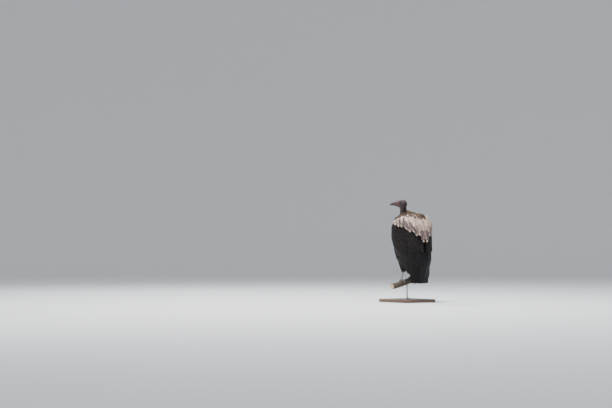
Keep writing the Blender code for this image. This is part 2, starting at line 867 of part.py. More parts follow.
def main():
    """Builds every piece, each one cut back from those made before it."""
    perch = make_perch()
    make_stand(perch)
    trunk = make_trunk()
    bpy.context.view_layer.update()
    trunk_cut = swollen(trunk)
    head = make_head()
    neck = make_neck(head["head"], trunk_cut)
    bpy.context.view_layer.update()
    wings = make_wings()

    data = loft_mesh("ruff", ruff_stations(), 6, 20, square_to=UPRIGHT)
    ruff = new_object("ruff", data, BACK_PLUMAGE)
    ruff_cut = swollen(ruff)
    carve(ruff, trunk_cut)
    carve(ruff, swollen(neck))
    for piece in wings:
        if "scapulars" in piece.name or "coverts" in piece.name:
            carve(piece, ruff_cut)
    make_tail(trunk_cut)
    for name, side in SIDES.items():
        make_leg(name, side, trunk_cut)
    for obj in VULTURE.objects:
        if obj.type == "MESH":
            shade(obj)


main()
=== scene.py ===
"""Looks of a hooded vulture that sits upright on a cut branch, on a display stand."""

import itertools
import logging
import math
from dataclasses import dataclass, field
from enum import Enum
from functools import cache
from typing import Callable, Sequence

import bmesh
import bpy
import numpy as np
from mathutils import Matrix, Vector, noise
from mathutils.bvhtree import BVHTree


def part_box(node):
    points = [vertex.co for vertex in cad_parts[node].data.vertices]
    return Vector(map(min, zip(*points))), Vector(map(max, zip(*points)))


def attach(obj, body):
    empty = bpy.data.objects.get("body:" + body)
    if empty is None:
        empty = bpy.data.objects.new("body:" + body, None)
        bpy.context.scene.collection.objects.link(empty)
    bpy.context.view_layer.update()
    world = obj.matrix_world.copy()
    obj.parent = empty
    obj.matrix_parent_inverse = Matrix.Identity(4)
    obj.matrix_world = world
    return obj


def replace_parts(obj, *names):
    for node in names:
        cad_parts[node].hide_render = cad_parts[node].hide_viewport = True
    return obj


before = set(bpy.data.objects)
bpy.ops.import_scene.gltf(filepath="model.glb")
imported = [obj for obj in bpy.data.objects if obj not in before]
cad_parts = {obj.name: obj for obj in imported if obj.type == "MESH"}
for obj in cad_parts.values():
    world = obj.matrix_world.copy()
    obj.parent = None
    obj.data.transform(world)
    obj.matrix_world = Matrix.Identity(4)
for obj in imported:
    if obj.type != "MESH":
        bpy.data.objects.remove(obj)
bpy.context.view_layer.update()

log = logging.getLogger("vulture")

SIDES = {"left": 1.0, "right": -1.0}
PERCH_TOP = 0.168
PERCH_RADIUS = 0.021
PERCH_SLOPE = math.radians(15)
TAU = 2 * math.pi


# Shader maths


def operator(operation: str, swapped: bool = False) -> Callable:
    """A method of Tone that adds a Math node over the tone and other values."""

    def method(self: "Tone", *others: object) -> "Tone":
        """The node's result."""
        values = (self, *others)[:: -1 if swapped else 1]
        return add_node(self.tree, "ShaderNodeMath", {"operation": operation}, dict(enumerate(values)))

    return method


class Tone:
    """A shader socket that takes part in Python expressions."""

    def __init__(self, tree: bpy.types.NodeTree, socket: bpy.types.NodeSocket) -> None:
        """Wraps a socket of a node tree."""
        self.tree = tree
        self.socket = socket

    __add__ = __radd__ = operator("ADD")
    __sub__ = operator("SUBTRACT")
    __rsub__ = operator("SUBTRACT", swapped=True)
    __mul__ = __rmul__ = operator("MULTIPLY")
    distance = operator("ABSOLUTE")
    wave = operator("SINE")
    least = operator("MINIMUM")
    most = operator("MAXIMUM")

    def between(self, low: float, high: float) -> "Tone":
        """0 below low, 1 above high, and smooth in between."""
        settings = {"interpolation_type": "SMOOTHSTEP"}
        return add_node(self.tree, "ShaderNodeMapRange", settings, {0: self, 1: low, 2: high})


def add_node(
    tree: bpy.types.NodeTree,
    kind: str,
    settings: dict[str, object],
    values: dict[object, object],
    output: object = 0,
) -> Tone:
    """Adds one node.

    Args:
        tree: The tree that gets the node.
        kind: The node's type.
        settings: The node's own properties, set first. "stops" fills a colour ramp.
        values: Values or links for its inputs, by name or index.
        output: The output to hand back, by name or index.

    Returns:
        The output, wrapped for further maths.
    """
    node = tree.nodes.new(kind)
    for name, value in settings.items():
        if name == "stops":
            ramp = node.color_ramp.elements
            while len(ramp) < len(value):
                ramp.new(0.5)
            for stop, (place, colour) in zip(ramp, value):
                stop.position = place
                stop.color = (*colour, 1.0)
        else:
            setattr(node, name, value)
    for name, value in values.items():
        socket = node.inputs[name]
        if isinstance(value, Tone):
            value = value.socket
        if isinstance(value, bpy.types.NodeSocket):
            tree.links.new(value, socket)
        elif socket.type == "RGBA" and len(value) == 3:
            socket.default_value = (*value, 1.0)
        else:
            socket.default_value = value
    return Tone(tree, node.outputs[output])


class Finish:
    """A Principled material under construction."""

    def __init__(self, name: str, roughness: float = 0.5, **fixed: float) -> None:
        """Starts the material.

        Args:
            name: The material's name.
            roughness: Its even roughness, until something else is linked.
            fixed: Even values for other sockets of the shader, with _ for a space.
        """
        self.material = bpy.data.materials.new(name)
        self.material.use_nodes = True
        self.tree = self.material.node_tree
        self.shader = self.tree.nodes["Principled BSDF"]
        self.shader.inputs["Roughness"].default_value = roughness
        for key, value in fixed.items():
            self.shader.inputs[key.replace("_", " ")].default_value = value

    def place(self) -> Tone:
        """The object's own coordinates, in metres."""
        return add_node(self.tree, "ShaderNodeTexCoord", {}, {}, "Object")

    def vane(self) -> tuple[Tone, Tone]:
        """Shares across and along a feather, from its own map."""
        uv = add_node(self.tree, "ShaderNodeUVMap", {"uv_map": "Vane"}, {})
        split = add_node(self.tree, "ShaderNodeSeparateXYZ", {}, {0: uv})
        return split, Tone(self.tree, split.socket.node.outputs[1])

    def mark(self, name: str) -> Tone:
        """A number kept on the mesh."""
        return add_node(self.tree, "ShaderNodeAttribute", {"attribute_name": name}, {}, "Fac")

    def noise(self, scale: float, detail: float = 3.0, rough: float = 0.55, at: object = None) -> Tone:
        """Soft random variation of 0 to 1, with features of about 1 / scale metres."""
        values = {"Scale": scale, "Detail": detail, "Roughness": rough, "Vector": at or self.place()}
        return add_node(self.tree, "ShaderNodeTexNoise", {}, values)

    def cells(self, scale: float, feature: str = "F1", at: object = None) -> Tone:
        """Distance to scattered points, or to the borders between their cells."""
        values = {"Scale": scale, "Vector": at or self.place()}
        return add_node(self.tree, "ShaderNodeTexVoronoi", {"feature": feature}, values)

    def stretched(self, scale: Sequence[float], turn: Sequence[float] = (0, 0, 0)) -> Tone:
        """The object's coordinates, turned and then scaled along each axis."""
        values = {"Vector": self.place(), "Scale": scale, "Rotation": turn}
        return add_node(self.tree, "ShaderNodeMapping", {}, values)

    def mix(self, share: object, first: object, second: object, blend: str = "MIX") -> Tone:
        """A colour between two others, or another blend of them."""
        settings = {"data_type": "RGBA", "blend_type": blend}
        return add_node(self.tree, "ShaderNodeMix", settings, {0: share, 6: first, 7: second}, 2)

    def ramp(self, share: Tone, *stops: tuple[float, tuple[float, float, float]]) -> Tone:
        """A colour from a ramp."""
        return add_node(self.tree, "ShaderNodeValToRGB", {"stops": stops}, {0: share})

    def colour(self, value: object) -> None:
        """Links or sets the base colour."""
        self._feed("Base Color", value)

    def rough(self, value: object) -> None:
        """Links the roughness."""
        self._feed("Roughness", value)

    def relief(self, height: Tone, depth: float, strength: float = 1.0) -> None:
        """Adds a bump, with depth in metres for a height of 1."""
        values = {"Height": height, "Distance": depth, "Strength": strength}
        self._feed("Normal", add_node(self.tree, "ShaderNodeBump", {}, values))

    def _feed(self, name: str, value: object) -> None:
        """Links a tone to the shader's socket, or sets an even value."""
        if isinstance(value, Tone):
            self.tree.links.new(value.socket, self.shader.inputs[name])
        else:
            self.shader.inputs[name].default_value = (*value, 1.0)


# Surfaces that feathers lie on


@dataclass
class Form:
    """A rounded body surface, read by angle round it and by level.

    Angles are degrees from the breast, at 0, over the bird's left side, at 90, to the
    back, at 180. Each row holds a level, the section's middle x, y and height over the
    perch, its half width and its half depth.
    """

    rows: Sequence[tuple[float, ...]]
    soften: int = 17
    levels: np.ndarray = field(init=False)
    table: np.ndarray = field(init=False)
    slopes: np.ndarray = field(init=False)

    def __post_init__(self) -> None:
        """Fills the dense table that points are read from."""
        places, *columns = np.array(self.rows).T
        self.levels = np.linspace(places[0], places[-1], 400)
        kernel = np.ones(self.soften) / self.soften
        half = self.soften // 2
        table = []
        for column in columns:
            line = np.interp(self.levels, places, column)
            line = 2 * line[0] - line[half:0:-1], line, 2 * line[-1] - line[-2 : -half - 2 : -1]
            table.append(np.convolve(np.concatenate(line), kernel, "valid"))
        self.table = np.array(table)
        self.slopes = np.gradient(self.table, self.levels, axis=1)

    def spot(self, angle: np.ndarray, level: np.ndarray, out: object = 0.0) -> tuple:
        """Points over the surface.

        Args:
            angle: Angles in degrees.
            level: Levels, of the same shape.
            out: How far each point stands off the surface, in metres.

        Returns:
            The points and the surface's outward normals there.
        """
        turn = np.radians(angle)
        sine, cosine = np.sin(turn), np.cos(turn)
        x, y, z, across, deep = (np.interp(level, self.levels, line) for line in self.table)
        dx, dy, dz, dacross, ddeep = (np.interp(level, self.levels, line) for line in self.slopes)
        points = np.stack([x + across * sine, y - deep * cosine, z + PERCH_TOP], -1)
        round_it = np.stack([across * cosine, deep * sine, np.zeros_like(x)], -1)
        up_it = np.stack([dx + dacross * sine, dy - ddeep * cosine, dz], -1)
        normals = unit(np.cross(round_it, up_it))
        return points + normals * np.asarray(out)[..., None], normals


SHOULDER_DROP = 0.0044
SHOULDER_ANGLES = (76, 179)
LAYER_EASE = 0.045


def shoulder_drop(level: np.ndarray) -> np.ndarray:
    """How far the top of the back lies under its plain form, at a level."""
    return SHOULDER_DROP * smooth((level - 0.40) / 0.06)


@dataclass
class Raised:
    """The back's surface on top of the folded wings and the scapulars.

    Form is the body under them, and extra is how far over them this surface lies.
    """

    form: Form
    extra: float

    def __post_init__(self) -> None:
        """Takes over the body's levels and sections."""
        self.levels, self.table = self.form.levels, self.form.table

    def spot(self, angle: np.ndarray, level: np.ndarray, out: object = 0.0) -> tuple:
        """Points over the surface and its normals, as the form under it gives them."""
        front, rear = SHOULDER_ANGLES
        top = read(SCAPULARS.top, (np.minimum(angle, 360 - angle) - front) / (rear - front))
        up = self.extra * (1 - 0.5 * smooth((level - 0.455) / 0.03))
        up = up + SCAPULARS.offset * smooth((top - level) / LAYER_EASE) - shoulder_drop(level)
        return self.form.spot(angle, level, np.asarray(out) + up)


@dataclass
class WingLayer:
    """One layer of the folded left wing, as the pairs that its edges are read from.

    Top and low are levels for shares of the way round, front and rear are angles for
    levels, and offset is how far the layer's underside stands off the body.
    """

    top: Sequence[tuple[float, float]]
    low: Sequence[tuple[float, float]]
    front: Sequence[tuple[float, float]]
    rear: Sequence[tuple[float, float]]
    offset: float
    thickness: float
    wraps: bool = True

    def spot(self, share: np.ndarray, level: np.ndarray, out: np.ndarray) -> tuple:
        """Points and normals over the layer, for shares of the way round and levels."""
        top = read(self.top, share)
        front = read(self.front, level)
        angle = front + (read(self.rear, level) - front) * share
        drop = smooth((top - level) / LAYER_EASE)
        if self.wraps:
            drop = np.minimum(drop, smooth(share / 0.34))
        edge = 1 - np.clip(np.minimum(share, 1 - share) / 0.35, 0, 1)
        body = np.sqrt(np.clip(1 - edge**2, 0, 1)) * smooth((top - level) / 0.05 + 0.15)
        down = (top - level) / (top - read(self.low, share))
        body = body * (1 - 0.72 * np.clip((down - 0.6) / 0.4, 0, 1))
        base = 0.0013 + self.offset * drop + self.thickness * 0.8 * body
        if not self.wraps:
            base = base - shoulder_drop(level)
        return BODY.spot(angle, level, base + out)


def bump(value: object, middle: float, width: float, power: int = 2) -> np.ndarray:
    """A round rise to 1 at a middle, which fades over a width."""
    return np.exp(-(((value - middle) / width) ** power))


def rise(value: object, start: float, length: float) -> np.ndarray:
    """0 before a start and 1 past its length, softly. A negative length runs backwards."""
    return smooth((value - start) / length)


def squared(side: object, deep: object) -> object:
    """How far a squarer section reaches past a round one, at a share of its half width."""
    return deep * (np.sqrt(1 - side**6) - np.sqrt(1 - side**2))


def unit(ways: np.ndarray) -> np.ndarray:
    """The ways at length 1."""
    return ways / np.maximum(np.linalg.norm(ways, axis=-1, keepdims=True), 1e-12)


def smooth(share: object) -> np.ndarray:
    """0 to 1 with a soft start and a soft stop."""
    share = np.clip(share, 0, 1)
    return share * share * (3 - 2 * share)


def read(pairs: Sequence[tuple[float, float]], place: np.ndarray) -> np.ndarray:
    """Values between the pairs of a short table."""
    places, values = zip(*pairs)
    return np.interp(place, places, values)


BODY_ROWS = (
    (-0.05, 0, 0.143, -0.05, 0.076, 0.014),
    (0.0, 0, 0.137, 0.0, 0.086, 0.021),
    (0.05, 0, 0.114, 0.05, 0.092, 0.060),
    (0.09, 0, 0.085, 0.09, 0.092, 0.102),
    (0.13, 0, 0.069, 0.13, 0.101, 0.121),
    (0.20, 0, 0.053, 0.20, 0.117, 0.124),
    (0.28, 0, 0.039, 0.28, 0.119, 0.122),
    (0.33, 0, 0.035, 0.328, 0.118, 0.120),
    (0.385, 0, 0.032, 0.378, 0.113, 0.116),
    (0.42, 0, 0.033, 0.404, 0.104, 0.107),
    (0.44, 0, 0.036, 0.418, 0.091, 0.093),
    (0.46, 0, 0.039, 0.428, 0.070, 0.072),
    (0.48, 0, 0.042, 0.434, 0.043, 0.045),
    (0.50, 0, 0.044, 0.436, 0.016, 0.018),
)
BODY = Form(BODY_ROWS)
TRUNK = Form(
    (
        (0.070, 0, 0.074, 0.075, 0.010, 0.012),
        (0.078, 0, 0.072, 0.079, 0.036, 0.040),
        (0.094, 0, 0.066, 0.094, 0.070, 0.079),
        (0.116, 0, 0.063, 0.116, 0.088, 0.099),
        (0.150, 0, 0.062, 0.150, 0.106, 0.121),
        *BODY_ROWS[5:10],
    ),
    soften=9,
)
RUFF = Form(
    (
        (0.340, 0.002, 0.000, 0.340, 0.099, 0.088),
        (0.366, 0.002, 0.000, 0.366, 0.098, 0.087),
        (0.408, 0.002, -0.001, 0.408, 0.094, 0.084),
        (0.433, 0.002, -0.002, 0.433, 0.081, 0.075),
        (0.449, 0.000, 0.014, 0.449, 0.067, 0.064),
        (0.461, 0.000, 0.016, 0.461, 0.057, 0.057),
        (0.478, 0.002, -0.013, 0.478, 0.032, 0.037),
        (0.494, 0.005, -0.024, 0.490, 0.025, 0.028),
    ),
    soften=11,
)
NECK = Form(
    (
        (0.437, 0.003, -0.024, 0.437, 0.0360, 0.0380),
        (0.468, 0.007, -0.029, 0.468, 0.0255, 0.0275),
        (0.494, 0.010, -0.028, 0.494, 0.0225, 0.0250),
        (0.514, 0.011, -0.025, 0.514, 0.0205, 0.0235),
        (0.540, 0.012, -0.023, 0.540, 0.0190, 0.0220),
    )
)
BACK = Raised(BODY, 0.0014)
CROWN = Raised(BODY, 0.0092)
VENT = Form(
    (
        (0.000, 0, 0.1400, 0.000, 0.050, 0.0120),
        (0.040, 0, 0.1380, 0.040, 0.052, 0.0200),
        (0.080, 0, 0.1300, 0.080, 0.054, 0.0330),
        (0.120, 0, 0.1150, 0.120, 0.060, 0.0450),
    ),
    soften=9,
)
PRIMARIES = WingLayer(
    top=((0, 0.250), (1, 0.250)),
    low=((0, 0.048), (0.3, 0.016), (0.65, -0.006), (1, -0.022)),
    front=((-0.03, 118), (0.01, 100), (0.05, 89), (0.12, 91), (0.16, 97), (0.25, 90)),
    rear=((-0.02, 178), (0.25, 178)),
    offset=0.0,
    thickness=0.006,
)
SECONDARIES = WingLayer(
    top=((0, 0.350), (1, 0.350)),
    low=((0, 0.175), (0.4, 0.120), (0.75, 0.085), (1, 0.075)),
    front=((0.10, 92), (0.17, 80), (0.25, 74), (0.36, 72)),
    rear=((0.08, 178), (0.35, 178)),
    offset=0.0073,
    thickness=0.008,
)
COVERTS = WingLayer(
    top=((0, 0.405), (0.4, 0.440), (1, 0.450)),
    low=((0, 0.230), (0.5, 0.200), (1, 0.185)),
    front=((0.20, 64), (0.28, 54), (0.36, 50), (0.42, 60)),
    rear=((0.20, 177.5), (0.45, 177.5)),
    offset=0.0166,
    thickness=0.014,
)
SCAPULARS = WingLayer(
    top=((0, 0.430), (0.3, 0.460), (0.6, 0.486), (1, 0.497)),
    low=((0, 0.398), (0.35, 0.360), (0.75, 0.292), (1, 0.245)),
    front=((0.25, 124), (0.33, 98), (0.39, 80), (0.44, 72)),
    rear=((0.25, 178.8), (0.50, 178.4)),
    offset=0.0319,
    thickness=0.008,
    wraps=False,
)


# Feathers

TUFT_PATCH = 0.003


class Tip(Enum):
    """How a feather's vane ends: the share of its length that narrows, and how sharply."""

    ROUND = (0.30, 2.6)
    OVAL = (0.48, 2.0)
    POINTED = (0.62, 1.45)
    WISP = (0.85, 1.15)
    SQUARE = (0.14, 3.0)


@dataclass(frozen=True)
class Vane:
    """A kind of feather: its outline, its relief and how finely it is made."""

    tip: Tip
    steps: int = 7
    columns: int = 5
    neck: float = 0.45
    arch: float = 0.20
    shaft: float = 0.0
    notch: float = 0.0

    def outline(self) -> np.ndarray:
        """Share of the full width at each step from root to tip."""
        t = self.stations()
        span, power = self.tip.value
        past = np.clip((t - 1 + span) / span, 0, 1)
        body = self.neck + (1 - self.neck) * smooth(t / 0.4)
        return body * np.maximum((1 - past**power), 0.0) ** (1 / 1.7) * 0.97 + 0.03

    def stations(self) -> np.ndarray:
        """Shares of the length at each step, closer together at the tip."""
        t = np.linspace(0, 1, self.steps)
        return 1 - (1 - t) ** 1.25


SMALL_VANE = Vane(Tip.OVAL, 6, 5, 0.5, 0.22)
SPIKY_VANE = Vane(Tip.WISP, 7, 3, 0.7, 0.35)


@dataclass
class Coat:
    """Many feathers of one kind, in one mesh.

    Centre and normal hold a line of points from root to tip for each feather. Width is
    half of each one's breadth, roll tips it sideways in radians, and at is the place of
    its root on the unwrapped skin.
    """

    name: str
    vane: Vane
    centre: np.ndarray
    normal: np.ndarray
    width: np.ndarray
    roll: np.ndarray
    at: np.ndarray
    marks: dict[str, np.ndarray]

    def mirrored(self, name: str) -> "Coat":
        """The same feathers on the bird's other side."""
        flip = np.array([-1.0, 1.0, 1.0])
        at = self.at * [-1, 1] + [1, 0]
        centre, normal = self.centre * flip, self.normal * flip
        return Coat(name, self.vane, centre, normal, self.width, -self.roll, at, self.marks)

    def build(self, finish: bpy.types.Material, slot: str) -> bpy.types.Object:
        """Makes the mesh.

        Args:
            finish: The feathers' material.
            slot: The record's material slot for it. It is not used.

        Returns:
            The object, which rides on the body already.
        """
        count, steps = self.centre.shape[:2]
        columns = self.vane.columns
        along = unit(np.gradient(self.centre, axis=1))
        side = unit(np.cross(along, self.normal))
        up = np.cross(side, along)
        roll = self.roll[:, None, None]
        side, up = side * np.cos(roll) + up * np.sin(roll), up * np.cos(roll) - side * np.sin(roll)
        v = np.linspace(-1, 1, columns)
        v = np.sign(v) * np.abs(v) ** 0.85
        half = (self.width[:, None] * self.vane.outline())[..., None]
        if self.vane.notch:
            half = half * self.notches(count, steps)
        height = half * self.vane.arch * (1 - v**2)
        height[..., columns // 2] += self.vane.shaft * np.linspace(1, 0.3, steps)
        spots = self.centre[:, :, None] + side[:, :, None] * (half * v)[..., None]
        spots = spots + up[:, :, None] * height[..., None]
        return self.assemble(spots.reshape(-1, 3), count, finish)

    def notches(self, count: int, steps: int) -> np.ndarray:
        """Small losses of width where barbs have parted, for each side of each feather."""
        dice = np.random.default_rng(count * 7 + steps)
        loss = dice.random((count, steps, self.vane.columns)) ** 7 * self.vane.notch
        loss[:, :3] = 0
        loss[:, :, self.vane.columns // 2] = 0
        return 1 - loss

    def faces(self, steps: int, columns: int) -> tuple[list, list]:
        """One feather's faces as corner numbers, and which of them are end caps."""
        grid = np.arange(steps * columns).reshape(steps, columns)
        made = []
        for i in range(steps - 1):
            for k in range(columns - 1):
                made.append([grid[i, k], grid[i, k + 1], grid[i + 1, k + 1], grid[i + 1, k]])
            made.append([grid[i, 0], grid[i + 1, 0], grid[i + 1, -1], grid[i, -1]])
        caps = [list(grid[0, ::-1]), list(grid[-1])]
        return made, caps

    def assemble(
        self, spots: np.ndarray, count: int, finish: bpy.types.Material
    ) -> bpy.types.Object:
        """Turns the points into one mesh with its maps and marks."""
        steps, columns = self.vane.steps, self.vane.columns
        quads, caps = self.faces(steps, columns)
        corners = np.concatenate([np.array(f) for f in quads + caps])
        sizes = np.array([len(f) for f in quads + caps])
        per = steps * columns
        loops = (corners[None] + np.arange(count)[:, None] * per).ravel()
        totals = np.tile(sizes, count)
        starts = np.concatenate([[0], np.cumsum(totals)[:-1]])
        mesh = bpy.data.meshes.new(self.name)
        mesh.vertices.add(count * per)
        mesh.vertices.foreach_set("co", spots.astype(np.float32).ravel())
        mesh.loops.add(len(loops))
        mesh.loops.foreach_set("vertex_index", loops.astype(np.int32))
        mesh.polygons.add(len(totals))
        mesh.polygons.foreach_set("loop_start", starts.astype(np.int32))
        mesh.polygons.foreach_set("loop_total", totals.astype(np.int32))
        flat = np.stack(
            np.meshgrid(np.linspace(0, 1, columns), self.vane.stations(), indexing="xy"), -1
        ).reshape(per, 2)
        shares = flat[corners]
        small = shares.copy()
        cap_loops = slice(sum(len(f) for f in quads), None)
        ring = np.linspace(0, TAU, columns, endpoint=False)
        circle = np.stack([np.cos(ring), np.sin(ring)], -1) * 0.08 + 0.5
        small[cap_loops] = np.concatenate([circle[::-1], circle])
        bake = self.at[:, None] + (small[None] - 0.5) * TUFT_PATCH
        self.add_map(mesh, "Vane", np.tile(shares, (count, 1)))
        self.add_map(mesh, "OFBake", np.clip(bake, 0.001, 0.999).reshape(-1, 2))
        for name, values in self.marks.items():
            mark = mesh.attributes.new(name, "FLOAT", "POINT")
            mark.data.foreach_set("value", np.repeat(values, per).astype(np.float32))
        mesh.update(calc_edges=True)
        mesh.shade_smooth()
        mesh.materials.append(finish)
        return place_piece(self.name, mesh)

    @staticmethod
    def add_map(mesh: bpy.types.Mesh, name: str, values: np.ndarray) -> None:
        """Adds one UV map."""
        layer = mesh.uv_layers.new(name=name)
        layer.data.foreach_set("uv", values.astype(np.float32).ravel())


@dataclass
class Row:
    """A row of feathers over a surface.

    Spot is the surface's function. Place holds the shares or angles of the feathers'
    tips, and tip_level their levels. The feathers rise from there against the lie of the
    coat, and drift is how far their roots lie to the side.
    """

    vane: Vane
    spot: Callable
    place: np.ndarray
    tip_level: np.ndarray
    length: np.ndarray
    drift: np.ndarray
    lift: float
    sink: float
    dice: np.random.Generator
    curl: float = 0.0
    droop: float = 0.0

    def lines(self) -> tuple[np.ndarray, np.ndarray]:
        """The feathers' middle lines, root to tip, and the normals along them."""
        t = self.vane.stations()[None]
        level = self.tip_level[:, None] + self.length[:, None] * (1 - t)
        place = self.place[:, None] - self.drift[:, None] * (1 - t)
        ruffle = self.dice.normal(0, 1, len(self.place))[:, None]
        out = -self.sink + (self.lift + self.sink) * np.sin(np.minimum(t * 1.25, 1) * np.pi / 2)
        out = out + self.curl * ruffle * t**2 - self.droop * smooth((t - 0.6) / 0.4)
        return self.spot(place, level, out)


# Finishes


@dataclass(frozen=True)
class Plumage:
    """The look of a kind of feather.

    Heart is the vane's middle colour, edge its bleached border, and old the colour that
    worn feathers turn to. On the mantle all three are also lightened as painted sunlight.
    Fringe is how far in the border reaches, from 0 to 1.
    """

    name: str
    heart: tuple[float, float, float]
    edge: tuple[float, float, float]
    old: tuple[float, float, float]
    fringe: float = 0.2
    fringe_share: float = 0.8
    wear: float = 0.5
    barbs: float = 60.0
    depth: float = 0.0009
    roughness: float = 0.62

    @cache
    def build(self) -> bpy.types.Material:
        """Makes the material, once."""
        look = Finish(self.name, self.roughness, Specular_IOR_Level=0.16)
        across, along = look.vane()
        tint = look.mark("tint")
        off = (across - 0.5).distance() * 2
        patchy = look.noise(38, 3, 0.6)
        grain = look.noise(420, 2, 0.6)
        # Worn patches turn to the old colour; on the mantle that colour is partly painted sunlight.
        worn = (patchy * 0.7 + tint * 0.6 - 0.15).between(0.35, 0.85) * self.wear
        barb = ((along * 1.0 - off * 0.28) * self.barbs * TAU).wave()
        border = off.between(0.96 - self.fringe * 1.6, 0.98)
        border = border.most(along.between(0.98 - self.fringe, 0.995))
        border = border * (0.55 + patchy * 0.9).least(1.0) * self.fringe_share
        stripe = 1 - off.between(0.03, 0.10)
        tone = look.mix(worn, self.heart, self.old)
        tone = look.mix(border, tone, self.edge)
        tone = look.mix(stripe * 0.35, tone, tuple(c * 0.45 for c in self.heart))
        shade = 0.80 + barb * 0.05 + grain * 0.22 + tint * 0.16
        shade = shade * (0.72 + along.between(0.0, 0.5) * 0.28)
        grey = add_node(look.tree, "ShaderNodeCombineColor", {}, {0: shade, 1: shade, 2: shade})
        look.colour(look.mix(1.0, tone, grey, "MULTIPLY"))
        look.rough(self.roughness - 0.10 + patchy * 0.2)
        look.relief(barb * 0.25 + grain * 0.5 + stripe * 0.8, self.depth)
        return look.material


# The mantle's pale pinkish colours are its paler feather edges and wear, lightened further as painted
# sunlight on the upturned back.
MANTLE = Plumage(
    "mantle_plumage", (0.44, 0.322, 0.268), (0.90, 0.680, 0.550), (0.79, 0.590, 0.478),
    fringe=0.20, fringe_share=0.90, wear=0.90, barbs=64,
)
# The long scapulars' pale borders are lightened as painted sunlight too, round dark grey hearts.
LONG_MANTLE = Plumage(
    "long_mantle_plumage", (0.115, 0.086, 0.083), (0.86, 0.645, 0.515), (0.45, 0.335, 0.280),
    fringe=0.155, fringe_share=0.95, wear=0.45, barbs=80,
)
SHOULDER = Plumage(
    "shoulder_plumage", (0.042, 0.028, 0.023), (0.23, 0.160, 0.118), (0.085, 0.058, 0.045),
    fringe=0.14, fringe_share=0.8, wear=0.8, barbs=44,
)
# COVERT, FLIGHT, BREAST and THIGH_DOWN: the plumage's dark brown, deepened near to black as painted shade on
# the wings, breast and thighs.
COVERT = Plumage(
    "covert_plumage", (0.0082, 0.0066, 0.0070), (0.046, 0.032, 0.026), (0.0175, 0.0130, 0.0115),
    fringe=0.09, fringe_share=0.7, wear=0.7, barbs=52,
)
# Dark brown deepened near to black as painted shade on the flight feathers and tail.
FLIGHT = Plumage(
    "flight_plumage", (0.0050, 0.0048, 0.0058), (0.023, 0.017, 0.0148), (0.0100, 0.0084, 0.0083),
    fringe=0.05, fringe_share=0.6, wear=0.6, barbs=95, depth=0.0006, roughness=0.50,
)
# Dark brown deepened near to black as painted shade on the breast.
BREAST = Plumage(
    "breast_plumage", (0.0100, 0.0074, 0.0064), (0.044, 0.031, 0.024), (0.019, 0.0138, 0.0112),
    fringe=0.14, fringe_share=0.6, wear=0.8, barbs=26,
)
RUFF_DOWN = Plumage(
    "ruff_plumage", (0.055, 0.033, 0.023), (0.47, 0.325, 0.215), (0.22, 0.138, 0.090),
    fringe=0.24, fringe_share=0.75, wear=0.85, barbs=20,
)
# Down on the hood, darkened with the face as painted shade over the head.
HOOD_DOWN = Plumage(
    "hood_down", (0.048, 0.031, 0.029), (0.130, 0.090, 0.078), (0.075, 0.050, 0.045),
    fringe=0.30, fringe_share=0.7, wear=1.0, barbs=12, roughness=0.8,
)
# Dark brown deepened near to black as painted shade on the thighs.
THIGH_DOWN = Plumage(
    "thigh_plumage", (0.015, 0.0110, 0.0092), (0.060, 0.044, 0.035), (0.028, 0.0205, 0.0165),
    fringe=0.18, fringe_share=0.7, wear=0.9, barbs=16,
)


# The plumage


def scattered(count: int, low: float, high: float, dice: np.random.Generator, play: float) -> np.ndarray:
    """Even steps between two values, each moved by a share of a step."""
    step = (high - low) / max(count, 1)
    return low + step * (np.arange(count) + 0.5 + dice.uniform(-play, play, count))


